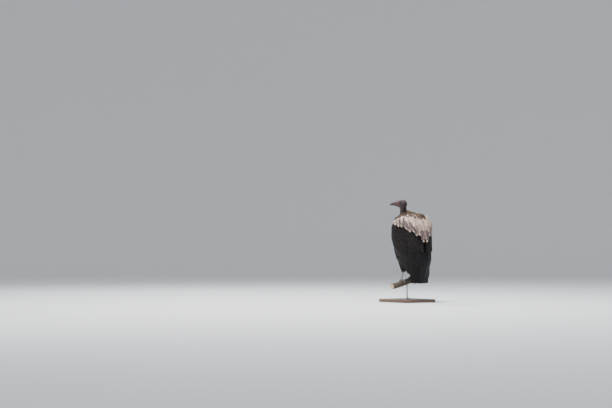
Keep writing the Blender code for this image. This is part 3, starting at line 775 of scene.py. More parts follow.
@dataclass
class WingPlumage:
    """The feathers of both folded wings: flight feathers, coverts and scapulars."""

    seed: int = 11
    overhang: float = 0.006

    def flight_row(self, layer: WingLayer, vane: Vane, count: int, top: float, wide: float) -> Coat:
        """One row of long flight feathers under its coverts.

        Args:
            layer: The wing layer that they lie on.
            vane: Their outline.
            count: How many show.
            top: The level of their roots.
            wide: Half of their breadth.

        Returns:
            The left wing's feathers.
        """
        dice = np.random.default_rng(self.seed + count)
        place = scattered(count, 0.02, 0.985, dice, 0.12)
        tips = read(layer.low, place) - self.overhang + dice.uniform(-0.003, 0.003, count)
        drift = dice.uniform(0.0, 0.05, count) + 0.02
        row = Row(vane, layer.spot, place, tips, top - tips, drift, 0.0016, 0.0035, dice, 0.0006, 0.0008)
        centre, normal = row.lines()
        order = np.linspace(0, 0.0026, count)[:, None, None]
        centre = centre + normal * order * np.linspace(0.3, 1, vane.steps)[None, :, None]
        return self.coat(vane, centre, normal, wide * dice.uniform(0.94, 1.06, count), place, tips, dice)

    @staticmethod
    def coat(
        vane: Vane, centre: np.ndarray, normal: np.ndarray, width: np.ndarray, place: np.ndarray,
        tips: np.ndarray, dice: np.random.Generator,
    ) -> Coat:
        """Wraps lines of feathers as a coat of the left wing."""
        at = np.stack([0.52 + 0.44 * place, 0.04 + 0.92 * np.clip((tips + 0.05) / 0.56, 0, 1)], -1)
        marks = {"tint": dice.random(len(place))}
        return Coat("", vane, centre, normal, width, dice.normal(0.10, 0.04, len(place)), at, marks)

    def covert_rows(
        self, layer: WingLayer, vane: Vane, bands: Sequence[tuple], lift: float, seed: int
    ) -> Coat:
        """Rows of coverts or scapulars, shortest at the top.

        Args:
            layer: The wing layer that they lie on.
            vane: Their outline.
            bands: For each row, its height over the layer's lower edge as a share of the
                way to the top, how many feathers, their length and their half breadth.
            lift: How far their tips stand off.
            seed: Seed of their scatter.

        Returns:
            The left wing's feathers, in one coat.
        """
        dice = np.random.default_rng(seed)
        parts = []
        for up, count, length, wide in bands:
            place = np.clip(scattered(count, 0.0, 1.0, dice, 0.3), 0.004, 0.994)
            low, top = read(layer.low, place), read(layer.top, place)
            tips = low + (top - low) * up + dice.normal(0, 0.0022, count) - 0.003
            reach = length * dice.uniform(0.88, 1.12, count)
            width = wide * dice.uniform(0.88, 1.12, count)
            drift = dice.normal(0.02, 0.02, count)
            row = Row(vane, layer.spot, place, tips, reach, drift, lift, 0.003, dice, 0.0009)
            parts.append((*row.lines(), width, place, tips))
        return self.coat(vane, *(np.concatenate(column) for column in zip(*parts)), dice)

    @staticmethod
    def pair(name: str, coat: Coat, look: Plumage, slot: str = "dark_plumage", node: str = "") -> None:
        """Makes a coat on both wings, in the place of a node if one is named."""
        for side in SIDES:
            made = coat if side == "left" else coat.mirrored("")
            made.name = f"{name}_{side}"
            piece = made.build(look.build(), slot)
            if node:
                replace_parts(piece, f"{node}_{side}")

    def build(self) -> None:
        """Makes every row on both sides."""
        flight = Vane(Tip.OVAL, 22, 7, 0.55, 0.10, 0.0007, 0.35)
        row = self.flight_row(PRIMARIES, flight, 9, 0.24, 0.0150)
        self.pair("primary_feathers", row, FLIGHT, node="wing_primaries")
        flight = Vane(Tip.ROUND, 22, 7, 0.6, 0.13, 0.0007, 0.30)
        row = self.flight_row(SECONDARIES, flight, 13, 0.33, 0.0170)
        self.pair("secondary_feathers", row, FLIGHT, node="wing_secondaries")
        vane = Vane(Tip.ROUND, 14, 7, 0.5, 0.16, 0.0005, 0.20)
        bands = [(0.0, 14, 0.085, 0.0125), (0.13, 15, 0.072, 0.0118)]
        self.pair("greater_covert_feathers", self.covert_rows(COVERTS, vane, bands, 0.003, 21), COVERT)
        vane = Vane(Tip.ROUND, 8, 5, 0.5, 0.20, 0.0003, 0.12)
        bands = [(0.26 + 0.058 * k, 17 + k % 2, 0.060 - 0.0026 * k, 0.0112 - 0.0003 * k) for k in range(9)]
        self.pair("lesser_covert_feathers", self.covert_rows(COVERTS, vane, bands, 0.003, 22), COVERT)
        bands = [(0.782 + 0.055 * k, 18 + k % 2, 0.037 - 0.0024 * k, 0.0086) for k in range(5)]
        self.pair("shoulder_feathers", self.covert_rows(COVERTS, vane, bands, 0.003, 23), SHOULDER)
        vane = Vane(Tip.POINTED, 18, 7, 0.6, 0.17, 0.0006, 0.40)
        bands = [(-0.02, 5, 0.135, 0.0215), (0.10, 7, 0.120, 0.0200)]
        coat = self.covert_rows(SCAPULARS, vane, bands, 0.0032, 31)
        self.pair("long_scapular_feathers", coat, LONG_MANTLE, "back_plumage")
        vane = Vane(Tip.OVAL, 13, 7, 0.5, 0.18, 0.0005, 0.35)
        bands = [(0.27 + 0.102 * k, 8 + k % 2, 0.088 - 0.0055 * k, 0.0166 - 0.0009 * k) for k in range(8)]
        coat = self.covert_rows(SCAPULARS, vane, bands, 0.0028, 32)
        self.pair("scapular_feathers", coat, MANTLE, "back_plumage")


@dataclass
class BodyPlumage:
    """The contour feathers of the breast, belly, flanks, ruff, hood, thighs and tail.

    Feathers are sizes of their own within spread, and stray from their row's level by stray
    of its pitch, from its run by drift and from the surface's slope by roll. Rows follow
    each other at row_step of the pitch.
    """

    tail_count: int = 12
    row_step: float = 0.8
    stray: float = 0.22
    drift: float = 2.5
    roll: float = 0.12
    spread: tuple[float, float] = (0.85, 1.15)

    def grow(
        self,
        name: str,
        form: Form | Raised,
        vane: Vane,
        look: Plumage,
        levels: tuple[float, float],
        pitch: float,
        length: Callable | float,
        width: float,
        arc: Callable | tuple[float, float],
        seed: int,
        lift: float = 0.003,
        curl: float = 0.001,
        keep: Callable = np.ones_like,
        slot: str = "dark_plumage",
    ) -> None:
        """Makes a coat from rows of small feathers round a form.

        Args:
            name: The coat's name.
            form: The surface.
            vane: The feathers' outline.
            look: Their finish.
            levels: The lowest and highest level of their tips.
            pitch: The distance between neighbours.
            length: The feathers' length, which may depend on their level.
            width: Half of their breadth.
            arc: The angles at which a row starts and ends, which may depend on its level.
            seed: Seed of the scatter.
            lift: How far the tips stand off.
            curl: How unevenly they do so.
            keep: The chance that a feather grows, from its angle.
            slot: The record's material slot.
        """
        dice = np.random.default_rng(seed)
        parts = []
        level = levels[0]
        while level < levels[1]:
            start, end = arc(level) if callable(arc) else arc
            across, deep = (np.interp(level, form.levels, form.table[k]) for k in (3, 4))
            way = math.radians(end - start) * (across + deep) / 2
            count = max(int(way / pitch), 1)
            angle = scattered(count, start, end, dice, 0.35)
            angle = angle[dice.random(count) < keep(angle)]
            count = len(angle)
            tips = level + dice.normal(0, pitch * self.stray, count)
            reach = (length(level) if callable(length) else length) * dice.uniform(*self.spread, count)
            wide = width * dice.uniform(*self.spread, count)
            drift = dice.normal(0, self.drift, count)
            row = Row(vane, form.spot, angle, tips, reach, drift, lift, 0.0025, dice, curl)
            parts.append((*row.lines(), wide, angle, tips))
            level += pitch * self.row_step
        centre, normal, wide, angle, tips = (np.concatenate(column) for column in zip(*parts))
        low, high = levels[0] - 0.01, levels[1] + 0.01
        at = np.stack([((angle + 180) % 360) / 360, (tips - low) / (high - low)], -1) * 0.96 + 0.02
        marks = {"tint": dice.random(len(tips))}
        roll = dice.normal(0, self.roll, len(tips))
        Coat(name, vane, centre, normal, wide, roll, at, marks).build(look.build(), slot)

    @staticmethod
    def tail_line(spread: np.ndarray, down: np.ndarray, out: np.ndarray) -> tuple:
        """Points down the tail, for shares across it of -1 to 1."""
        height = 0.130 - 0.160 * down
        half = 0.042 + 0.040 * np.minimum(down * 1.4, 1.0) ** 0.8
        middle = 0.150 - 0.012 * down + 0.008 * (1 - spread**2) - 0.030 * (1 - down) ** 3
        points = np.stack([half * spread, middle + out, height + PERCH_TOP], -1)
        normals = unit(np.stack([spread * 0.15, np.ones_like(spread), spread * 0], -1))
        return points, normals

    def tail(self) -> None:
        """Makes the tail's own feathers, side by side, the middle pair on top."""
        count = self.tail_count
        vane = Vane(Tip.SQUARE, 24, 7, 0.6, 0.09, 0.0008, 0.30)
        dice = np.random.default_rng(5)
        spread = np.linspace(-0.86, 0.86, count)
        aside = np.abs(spread)[:, None]
        even = np.ones((1, vane.steps))
        down = vane.stations() * (1.035 - 0.03 * aside) + dice.uniform(-0.012, 0.012, count)[:, None]
        out = (0.0030 - 0.0058 * aside) * even
        centre, normal = self.tail_line(spread[:, None] * even, np.clip(down, 0, 1.06), out)
        at = np.stack([0.06 + 0.88 * (spread + 1) / 2, np.full(count, 0.5)], -1)
        marks = {"tint": dice.random(count)}
        width = np.full(count, 0.0135)
        coat = Coat("tail_feathers", vane, centre, normal, width, -spread * 0.10, at, marks)
        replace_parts(coat.build(FLIGHT.build(), "dark_plumage"), "tail")

    @staticmethod
    def thigh_form(side: float) -> Form:
        """The feathered thigh's surface."""
        rows = (
            (0.042, 0.0457, 0.0165, 0.042, 0.0090, 0.0100),
            (0.052, 0.0460, 0.0180, 0.052, 0.0120, 0.0135),
            (0.080, 0.0470, 0.0160, 0.080, 0.0195, 0.0225),
            (0.112, 0.0480, 0.0160, 0.112, 0.0285, 0.0335),
            (0.150, 0.0460, 0.0160, 0.150, 0.0365, 0.0405),
        )
        return Form([(level, x * side, *rest) for level, x, *rest in rows], soften=9)

    def build(self) -> None:
        """Makes every coat."""
        self.trunk()
        self.ruff()
        self.mantle()
        self.vent()
        self.tail()

    def trunk(self) -> None:
        """Makes the breast and the belly."""
        self.grow(
            "breast_feathers", TRUNK, SMALL_VANE, BREAST,
            (0.155, 0.385), 0.0105, 0.034, 0.0078, (-84, 84), 41,
        )
        self.grow(
            "belly_feathers", TRUNK, SMALL_VANE, BREAST,
            (0.073, 0.160), 0.0095, 0.030, 0.0074, (-180, 180), 42, 0.003, 0.0014,
        )

    def ruff(self) -> None:
        """Makes the ruff's front and its pale back."""
        self.grow(
            "ruff_feathers", RUFF, SPIKY_VANE, SHOULDER,
            (0.372, 0.442), 0.0078, lambda level: 0.040 - 0.20 * max(level - 0.40, 0), 0.0042,
            (-110, 110), 43, 0.0030, 0.0014,
        )
        self.grow(
            "nape_feathers", RUFF, SPIKY_VANE, RUFF_DOWN,
            (0.385, 0.470), 0.0085, lambda level: 0.042 - 0.20 * max(level - 0.40, 0), 0.0048,
            lambda level: (80 + 84 * smooth((level - 0.425) / 0.03), 280), 46, 0.0050, 0.0030,
            lambda angle: smooth((100 - np.abs(angle - 180)) / 30), "back_plumage",
        )

    def mantle(self) -> None:
        """Makes the tufts and their painted shadow, the down on the nape, and the mantle between the
        scapulars.
        """
        self.grow(
            "mantle_tufts", CROWN, SPIKY_VANE, RUFF_DOWN,
            (0.424, 0.490), 0.0105, lambda level: 0.040 - 0.16 * max(level - 0.42, 0), 0.0058,
            lambda level: (112, 196 + 14 * smooth((level - 0.424) / 0.02)), 49, 0.0046, 0.0030,
            lambda angle: smooth((angle - 108) / 16) * smooth((222 - angle) / 20) * 0.86, "back_plumage",
        )
        # Near-black tufts under the tan ones: painted shadow that the tan tufts cast on the mantle, in the
        # dark shoulder plumage.
        self.grow(
            "dark_mantle_tufts", CROWN, SPIKY_VANE, SHOULDER,
            (0.414, 0.444), 0.0086, 0.036, 0.0058,
            lambda level: (150 - 32 * smooth((level - 0.414) / 0.020), 202), 50, 0.0022, 0.0022,
            lambda angle: smooth((angle - 112) / 16) * 0.9, "back_plumage",
        )
        self.grow(
            "hood_down", NECK, Vane(Tip.WISP, 5, 3, 0.8, 0.5), HOOD_DOWN,
            (0.464, 0.520), 0.0030, lambda level: 0.0085 - 0.06 * (level - 0.464), 0.0007,
            (88, 272), 44, 0.0010, 0.0006,
            lambda angle: smooth((88 - np.abs(angle - 180)) / 55), "back_plumage",
        )
        self.grow(
            "mantle_feathers", BACK, Vane(Tip.OVAL, 12, 7, 0.5, 0.16, 0.0005, 0.30), MANTLE,
            (0.335, 0.482), 0.0185, lambda level: 0.078 - 0.20 * max(level - 0.33, 0), 0.0142,
            lambda level: (168 - 300 * max(level - 0.40, 0), 192 + 300 * max(level - 0.40, 0)), 47,
            0.0060, 0.0012, slot="back_plumage",
        )

    def vent(self) -> None:
        """Makes the vent and the thighs."""
        self.grow(
            "vent_feathers", VENT, SMALL_VANE, BREAST,
            (0.020, 0.092), 0.0100, 0.036, 0.0082, (-58, 58), 48, 0.0028, 0.0012,
        )
        for name, side in SIDES.items():
            self.grow(
                f"thigh_feathers_{name}", self.thigh_form(side), SMALL_VANE, THIGH_DOWN,
                (0.047, 0.135), 0.0072, 0.024, 0.0052, (-180, 180), 45, 0.0028, 0.0012,
            )


# Shaping helpers


def ellipse(
    mesh: bmesh.types.BMesh, middle: Vector, ahead: Vector, wide: Vector, across: float, deep: float,
    sides: int,
) -> list[bmesh.types.BMEdge]:
    """Adds an ellipse that faces ahead, by its half width and half depth, and gives its edges."""
    ahead = ahead.normalized()
    wide = (wide - wide.project(ahead)).normalized()
    turn = Matrix((wide, ahead.cross(wide), ahead)).transposed().to_4x4()
    place = Matrix.Translation(middle) @ turn @ Matrix.Diagonal((across, deep, 1, 1))
    verts = bmesh.ops.create_circle(mesh, segments=sides, radius=1.0, matrix=place)["verts"]
    return list({edge for vert in verts for edge in vert.link_edges})


def lofted(mesh: bmesh.types.BMesh, rings: Sequence[tuple], sides: int, closed: bool = False) -> None:
    """Skins a form through ellipses.

    Args:
        mesh: The mesh that gets the form.
        rings: For each ellipse, its middle, the way ahead, the way of its width, and its
            half width and half depth.
        sides: Corners of each ellipse.
        closed: Whether the last ellipse joins the first. Otherwise both ends are capped.
    """
    loops = [ellipse(mesh, *ring, sides) for ring in rings]
    for first, second in zip(loops, loops[1:] + loops[:1] if closed else loops[1:]):
        bmesh.ops.bridge_loops(mesh, edges=first + second)
    for edges in () if closed else (loops[0], loops[-1]):
        bmesh.ops.holes_fill(mesh, edges=edges, sides=0)
    bmesh.ops.recalc_face_normals(mesh, faces=mesh.faces)


def spun(profile: Sequence[tuple[float, float]], steps: int, closed: bool) -> bmesh.types.BMesh:
    """Turns a profile of radii and heights once round the upright axis."""
    mesh = bmesh.new()
    points = [mesh.verts.new((x, 0, z)) for x, z in profile]
    edges = [mesh.edges.new(pair) for pair in zip(points, points[1:] + points[:1] if closed else points[1:])]
    bmesh.ops.spin(
        mesh, geom=points + edges, cent=(0, 0, 0), axis=(0, 0, 1), angle=TAU, steps=steps, use_merge=True
    )
    bmesh.ops.remove_doubles(mesh, verts=mesh.verts, dist=1e-6)
    bmesh.ops.recalc_face_normals(mesh, faces=mesh.faces)
    return mesh


def smooth_line(rows: Sequence[Sequence[float]], count: int) -> list[list[float]]:
    """More rows on a smooth curve through the given ones."""
    last = len(rows) - 1
    made = []
    for i in range(count):
        place = i / (count - 1) * last
        k = min(int(place), last - 1)
        t = place - k
        a, b, c, d = (np.array(rows[min(max(k + step, 0), last)], float) for step in (-1, 0, 1, 2))
        curve = 2 * b + (c - a) * t + (2 * a - 5 * b + 4 * c - d) * t**2
        made.append(list(0.5 * (curve + (3 * b - a - 3 * c + d) * t**3)))
    return made


def settled(name: str, mesh: bmesh.types.BMesh) -> bpy.types.Mesh:
    """Turns a bmesh into smooth-shaded mesh data."""
    data = bpy.data.meshes.new(name)
    mesh.to_mesh(data)
    mesh.free()
    data.shade_smooth()
    return data


def linked(name: str, data: bpy.types.ID) -> bpy.types.Object:
    """Links data to the scene as a new object."""
    made = bpy.data.objects.new(name, data)
    bpy.context.scene.collection.objects.link(made)
    return made


def place_piece(name: str, mesh: bpy.types.Mesh) -> bpy.types.Object:
    """Links a mesh as a piece that rides on the body."""
    piece = linked(name, mesh)
    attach(piece, "root")
    log.info("%s: %d faces", name, len(mesh.polygons))
    return piece


def finish_mesh(name: str, mesh: bmesh.types.BMesh, look: Finish, slot: str, *nodes: str) -> None:
    """Turns a bmesh into a piece with its finish, in the place of nodes."""
    data = settled(name, mesh)
    data.set_sharp_from_angle(angle=math.radians(55))
    data.materials.append(look.material)
    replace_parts(place_piece(name, data), *nodes)


# The head's own frame


HEAD_PLACE = (
    Matrix.Translation((0.012, -0.026, 0.537 + PERCH_TOP))
    @ Matrix.Rotation(math.radians(50 - 90), 4, "Z")
    @ Matrix.Rotation(math.radians(2), 4, "Y")
)
HEAD_BACK = HEAD_PLACE.inverted()
EYE_SPOT = Vector((0.0215, 0.0140, 0.0075))
EYE_RADIUS = 0.0066


def eye_place(side: float) -> tuple[Vector, Vector]:
    """An eye's middle and the way it looks, in the head's frame."""
    return EYE_SPOT * Vector((1, side, 1)), Vector((0.30, side, 0.02)).normalized()


# The feet


@dataclass(frozen=True)
class Toe:
    """One toe: its way on the perch, how far round it reaches, and its size."""

    ahead: int
    splay: float
    reach: float
    root: float
    thick: float


TOES = {
    "inner": Toe(1, -26, 92, 0.0055, 0.92),
    "middle": Toe(1, 0, 128, 0.0, 1.0),
    "outer": Toe(1, 26, 88, -0.0055, 0.9),
    "hind": Toe(-1, 8, 80, 0.0, 0.95),
}
TOE_RADIUS = 0.0060
FOOT_SPREAD = 0.045
PERCH_TURN = Matrix.Translation((0, 0, PERCH_TOP - PERCH_RADIUS)) @ Matrix.Rotation(PERCH_SLOPE, 4, "Y")
PERCH_WAY = PERCH_TURN.to_3x3() @ Vector((1, 0, 0))


def toe_spot(toe: Toe, side: float, share: float, extra: float = 0.0) -> Vector:
    """A point in the middle of a toe where it wraps the perch."""
    angle = toe.ahead * math.radians(toe.reach) * share
    path = (PERCH_RADIUS + TOE_RADIUS) * math.radians(toe.reach) * share
    along = side * (FOOT_SPREAD - toe.root - math.tan(math.radians(toe.splay)) * path)
    out = PERCH_RADIUS + TOE_RADIUS * toe.thick + 0.0004 + extra
    return PERCH_TURN @ Vector((along, -math.sin(angle) * out, math.cos(angle) * out))


@dataclass
class Claws:
    """The curved claws of both feet."""

    length: float = 0.021
    radius: float = 0.0033
    steps: int = 16

    def rings(self, toe: Toe, side: float) -> list[tuple]:
        """The claw's sections, from its root on the toe to its point."""
        start = toe_spot(toe, side, 1.0)
        ahead = (start - toe_spot(toe, side, 0.96)).normalized()
        axis = PERCH_WAY * toe.ahead
        point = start - ahead * 0.0012
        stride = (self.length * toe.thick + 0.001) / (self.steps - 1)
        found = []
        for i in range(self.steps):
            share = i / (self.steps - 1)
            thick = self.radius * toe.thick * (1 - share**1.6) ** 0.8 + 0.00018
            found.append((point.copy(), ahead.copy(), axis, thick * 0.86, thick * 1.06))
            point = point + ahead * stride
            turn = math.radians(62) / (self.steps - 1) * (1.1 - 0.9 * share)
            ahead = Matrix.Rotation(turn, 3, axis) @ ahead
        return found

    def build(self) -> None:
        """Makes the claws of each foot as one piece."""
        look = Finish("claw_horn", 0.36)
        streak = look.noise(1.0, 3, 0.6, look.stretched((260, 260, 60)))
        look.colour(look.mix(streak.between(0.3, 0.75), (0.012, 0.011, 0.012), (0.055, 0.047, 0.044)))
        look.rough(0.28 + streak * 0.22)
        look.relief(streak, 0.00025)
        for name, side in SIDES.items():
            mesh = bmesh.new()
            for toe in TOES.values():
                lofted(mesh, self.rings(toe, side), 16)
            nodes = [f"claw_{name}_{toe}" for toe in TOES]
            finish_mesh(f"claws_{name}", mesh, look, "dark_horn", *nodes)


# The bill and the eyes


@dataclass
class Bill:
    """The horny tip of the upper bill, with its hook, and the lower bill."""

    upper: Sequence[tuple] = (
        (0.070, 0.0045, 0.0062, 0.0094),
        (0.074, 0.0046, 0.0061, 0.0091),
        (0.0785, 0.0038, 0.0058, 0.0083),
        (0.083, 0.0018, 0.0052, 0.0072),
        (0.0866, -0.001, 0.0045, 0.006),
        (0.0893, -0.0045, 0.0037, 0.0047),
        (0.0912, -0.0082, 0.0028, 0.0034),
        (0.0921, -0.0118, 0.0018, 0.0021),
        (0.0922, -0.0146, 0.0009, 0.0011),
        (0.0919, -0.0162, 0.0003, 0.0004),
    )
    lower: Sequence[tuple] = (
        (0.040, -0.0118, 0.0086, 0.0056),
        (0.050, -0.011, 0.008, 0.0052),
        (0.060, -0.0095, 0.0066, 0.0044),
        (0.070, -0.0079, 0.005, 0.0036),
        (0.078, -0.0068, 0.0036, 0.0026),
        (0.0818, -0.0062, 0.0017, 0.0014),
    )

    def rings(self, rows: Sequence[tuple], count: int, upright: bool) -> list[tuple]:
        """The sections of one half of the bill in the world."""
        line = smooth_line(rows, count)
        found = []
        for i, (x, z, across, deep) in enumerate(line):
            ahead = Vector(line[min(i + 1, count - 1)][:2]) - Vector(line[max(i - 1, 0)][:2])
            way = Vector((1, 0, 0)) if upright else Vector((ahead.x, 0, ahead.y))
            middle = HEAD_PLACE @ Vector((x, 0, z))
            turn = HEAD_PLACE.to_3x3()
            found.append((middle, turn @ way, turn @ Vector((0, 1, 0)), max(across, 2e-4), max(deep, 2e-4)))
        return found

    @staticmethod
    def horn() -> Finish:
        """Blackish horn with paler scuffed patches."""
        look = Finish("bill_horn", 0.34)
        streak = look.noise(1.0, 4, 0.62, look.stretched((150, 150, 420)))
        cloud = look.noise(120, 3)
        tone = look.mix(streak.between(0.35, 0.8) * 0.6, (0.010, 0.010, 0.0125), (0.050, 0.044, 0.044))
        look.colour(look.mix(cloud.between(0.55, 0.8) * 0.35, tone, (0.090, 0.072, 0.066)))
        look.rough(0.26 + cloud * 0.25)
        look.relief(streak, 0.0004, 0.7)
        return look

    def build(self) -> None:
        """Makes both halves."""
        horn = self.horn()
        upper, lower = bmesh.new(), bmesh.new()
        lofted(upper, self.rings(self.upper, 44, False), 30)
        self.flatten(upper, self.upper[:4], -1)
        self.narrow_culmen(upper)
        lofted(lower, self.rings(self.lower, 34, True), 26)
        self.flatten(lower, self.lower, 1)
        finish_mesh("bill_upper_horn", upper, horn, "dark_horn", "bill_upper")
        finish_mesh("bill_lower_horn", lower, horn, "dark_horn", "bill_lower")

    @staticmethod
    def flatten(mesh: bmesh.types.BMesh, rows: Sequence[tuple], way: int) -> None:
        """Squares the half of a bill that meets the other one, so that their edges touch."""
        places, middles, halves, deeps = zip(*rows)
        for vert in mesh.verts:
            spot = HEAD_BACK @ vert.co
            middle, half, deep = (float(np.interp(spot.x, places, v)) for v in (middles, halves, deeps))
            if (spot.z - middle) * way <= 0:
                continue
            side = min(abs(spot.y) / half, 1.0)
            fade = min(max((places[-1] - spot.x) / (places[-1] - places[-2]), 0.0), 1.0)
            spot.z += way * fade * squared(side, deep)
            vert.co = HEAD_PLACE @ spot

    @staticmethod
    def narrow_culmen(mesh: bmesh.types.BMesh) -> None:
        """Pulls the upper bill's top in to a ridge and lets its cutting edge overhang."""
        for vert in mesh.verts:
            spot = HEAD_BACK @ vert.co
            high = max(min((spot.z - 0.001) / 0.012, 1.0), -1.0)
            spot.y *= 1 - 0.30 * max(high, 0) ** 1.5
            spot.z -= 0.0009 * bump(spot.x, 0.078, 0.004) * max(-high, 0)
            vert.co = HEAD_PLACE @ spot


@dataclass
class Eyes:
    """The wet, dark eyes."""

    pupil: float = 0.30
    iris: float = 0.62

    def build(self) -> None:
        """Makes both eyes."""
        look = Finish("eye_wet", 0.10, Coat_Weight=0.35, Coat_Roughness=0.02, Specular_IOR_Level=0.25)
        gaze = look.mark("gaze")
        fleck = look.noise(1400, 3, 0.7)
        iris = look.mix(fleck.between(0.3, 0.7), (0.022, 0.009, 0.005), (0.075, 0.034, 0.015))
        tone = look.mix(gaze.between(self.pupil - 0.03, self.pupil + 0.03), (0.002, 0.002, 0.002), iris)
        look.colour(look.mix(gaze.between(self.iris - 0.05, self.iris + 0.03), tone, (0.012, 0.008, 0.007)))
        look.rough(0.05 + gaze.between(self.iris, self.iris + 0.2) * 0.2)
        for name, side in SIDES.items():
            mesh = bmesh.new()
            bmesh.ops.create_uvsphere(mesh, u_segments=40, v_segments=26, radius=EYE_RADIUS)
            centre, axis = eye_place(side)
            layer = mesh.verts.layers.float.new("gaze")
            for vert in mesh.verts:
                vert[layer] = vert.co.angle(axis)
                vert.co *= 1 + 0.045 * bump(vert[layer], 0, 0.6)
            bmesh.ops.transform(mesh, matrix=HEAD_PLACE @ Matrix.Translation(centre), verts=mesh.verts)
            finish_mesh(f"eyeball_{name}", mesh, look, "eye_gloss", f"eye_{name}")


# The skin


EAR = (-0.005, -0.003)
NOSTRIL = (0.054, 0.0085)
GAPE_HEIGHT = -0.0072
FACE_START = (0.438, 0.014)
LEG_END = (0.050, 0.012)


def vectors(source: object, name: str) -> np.ndarray:
    """The vectors of a list in mesh data."""
    values = np.empty(len(source) * 3, np.float32)
    source.foreach_get(name, values)
    return values.reshape(-1, 3).astype(float)


@dataclass
class Skin:
    """One skin over the whole bird, with its folds, lids and scutes."""

    coat_depth: float = 0.0035
    least_island: int = 1500
    flesh: tuple[str, ...] = (
        "trunk", "ruff", "thigh_left", "thigh_right", "wing_coverts_left", "wing_coverts_right",
        "scapulars_left", "scapulars_right",
    )
    face: tuple[str, ...] = ("head", "cere", "neck")
    legs: tuple[str, ...] = ("shank_left", "shank_right", "foot_left", "foot_right")

    def gathered(
        self, nodes: Sequence[str], voxel: float, rounds: int, depth: float, bridges: Sequence[tuple] = ()
    ) -> bpy.types.Object:
        """Copies of CAD solids grown into one even mesh, smoothed and drawn in.

        Args:
            nodes: The solids.
            voxel: The mesh's fineness.
            rounds: How often it is smoothed.
            depth: How far it is drawn in.
            bridges: Places and radii of balls that reach into the neighbouring flesh.

        Returns:
            A helper object.
        """
        mesh = bmesh.new()
        for node in nodes:
            before = len(mesh.verts)
            mesh.from_mesh(bpy.data.objects[node].data)
            if node.startswith("scapulars"):
                mesh.verts.ensure_lookup_table()
                self.shorten(mesh.verts[before:])
        bmesh.ops.remove_doubles(mesh, verts=mesh.verts, dist=1e-5)
        for place, radius in bridges:
            turn = Matrix.Translation(place)
            bmesh.ops.create_uvsphere(mesh, u_segments=16, v_segments=10, radius=radius, matrix=turn)
        helper = linked("gathered", settled("gathered", mesh))
        self.remesh(helper, voxel)
        if depth:
            draw = helper.modifiers.new("draw", "DISPLACE")
            draw.mid_level = 0.0
            draw.strength = -depth
            self.remesh(helper, voxel)
        ease = helper.modifiers.new("ease", "SMOOTH")
        ease.factor = 0.5
        ease.iterations = rounds
        self.settle(helper)
        self.keep_large(helper.data)
        return helper

    @staticmethod
    def lids() -> bpy.types.Object:
        """The rims of the eyelids, as rings that lie on the eyeballs."""
        mesh = bmesh.new()
        for side in SIDES.values():
            centre, axis = eye_place(side)
            level = Vector((0, 0, 1)).cross(axis).normalized()
            upright = axis.cross(level)
            rings = []
            for k in range(56):
                turn = k / 56 * TAU
                wide = math.radians(57 - 15 * abs(math.sin(turn)) ** 1.4 - 3 * max(math.sin(turn), 0))
                way = level * math.cos(turn) + upright * math.sin(turn)
                out = axis * math.cos(wide) + way * math.sin(wide)
                along = way.cross(axis).normalized()
                place = centre + out * (EYE_RADIUS + 0.0006)
                rings.append((place, along, out.cross(along), 0.0018, 0.0009))
            lofted(mesh, rings, 14, closed=True)
        bmesh.ops.transform(mesh, matrix=HEAD_PLACE, verts=mesh.verts)
        return linked("lids", settled("lids", mesh))

    @staticmethod
    def shorten(verts: Sequence[bmesh.types.BMVert]) -> None:
        """Draws the scapulars' lower edge up, so that it ends under their feathers."""
        for vert in verts:
            level = vert.co.z - PERCH_TOP
            angle = math.degrees(math.atan2(abs(vert.co.x), 0.036 - vert.co.y))
            front, rear = read(SCAPULARS.front, level), read(SCAPULARS.rear, level)
            least = read(SCAPULARS.low, (angle - front) / (rear - front)) + 0.040
            vert.co.z += max(float(least) - level, 0.0)

    @staticmethod
    def remesh(helper: bpy.types.Object, voxel: float) -> None:
        """Adds a step that gives the helper an even mesh."""
        step = helper.modifiers.new("even", "REMESH")
        step.mode = "VOXEL"
        step.voxel_size = voxel

    def keep_large(self, data: bpy.types.Mesh) -> None:
        """Takes off the small islands."""
        mesh = bmesh.new()
        mesh.from_mesh(data)
        fresh = set(mesh.verts)
        while fresh:
            island = {fresh.pop()}
            front = set(island)
            while front:
                front = {e.other_vert(v) for v in front for e in v.link_edges} - island
                island |= front
            fresh -= island
            if len(island) < self.least_island:
                bmesh.ops.delete(mesh, geom=list(island), context="VERTS")
        mesh.to_mesh(data)
        mesh.free()

    @staticmethod
    def settle(helper: bpy.types.Object) -> None:
        """Applies a helper's modifiers."""
        bpy.context.view_layer.update()
        graph = bpy.context.evaluated_depsgraph_get()
        data = bpy.data.meshes.new_from_object(helper.evaluated_get(graph))
        helper.modifiers.clear()
        helper.data = data

    def build(self) -> None:
        """Makes the skin."""
        body = self.gathered(self.flesh, 0.0046, 5, self.coat_depth)
        knees = [((side * 0.046, 0.0165, PERCH_TOP + 0.057), 0.0088) for side in SIDES.values()]
        others = (
            self.gathered(self.face, 0.00108, 4, 0.0),
            self.gathered(self.legs, 0.00118, 2, 0.0, knees),
            self.lids(),
        )
        for other in others:
            join = body.modifiers.new("join", "BOOLEAN")
            join.operation = "UNION"
            join.object = other
            join.solver = "MANIFOLD"
        self.settle(body)
        data = body.data
        for helper in (body, *others):
            bpy.data.objects.remove(helper)
        self.carve(data)
        data.shade_smooth()
        data.materials.clear()
        data.materials.append(self.hide())
        data.polygons.foreach_set("material_index", np.zeros(len(data.polygons), np.int32))
        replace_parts(place_piece("skin", data), *self.flesh, *self.face, *self.legs)

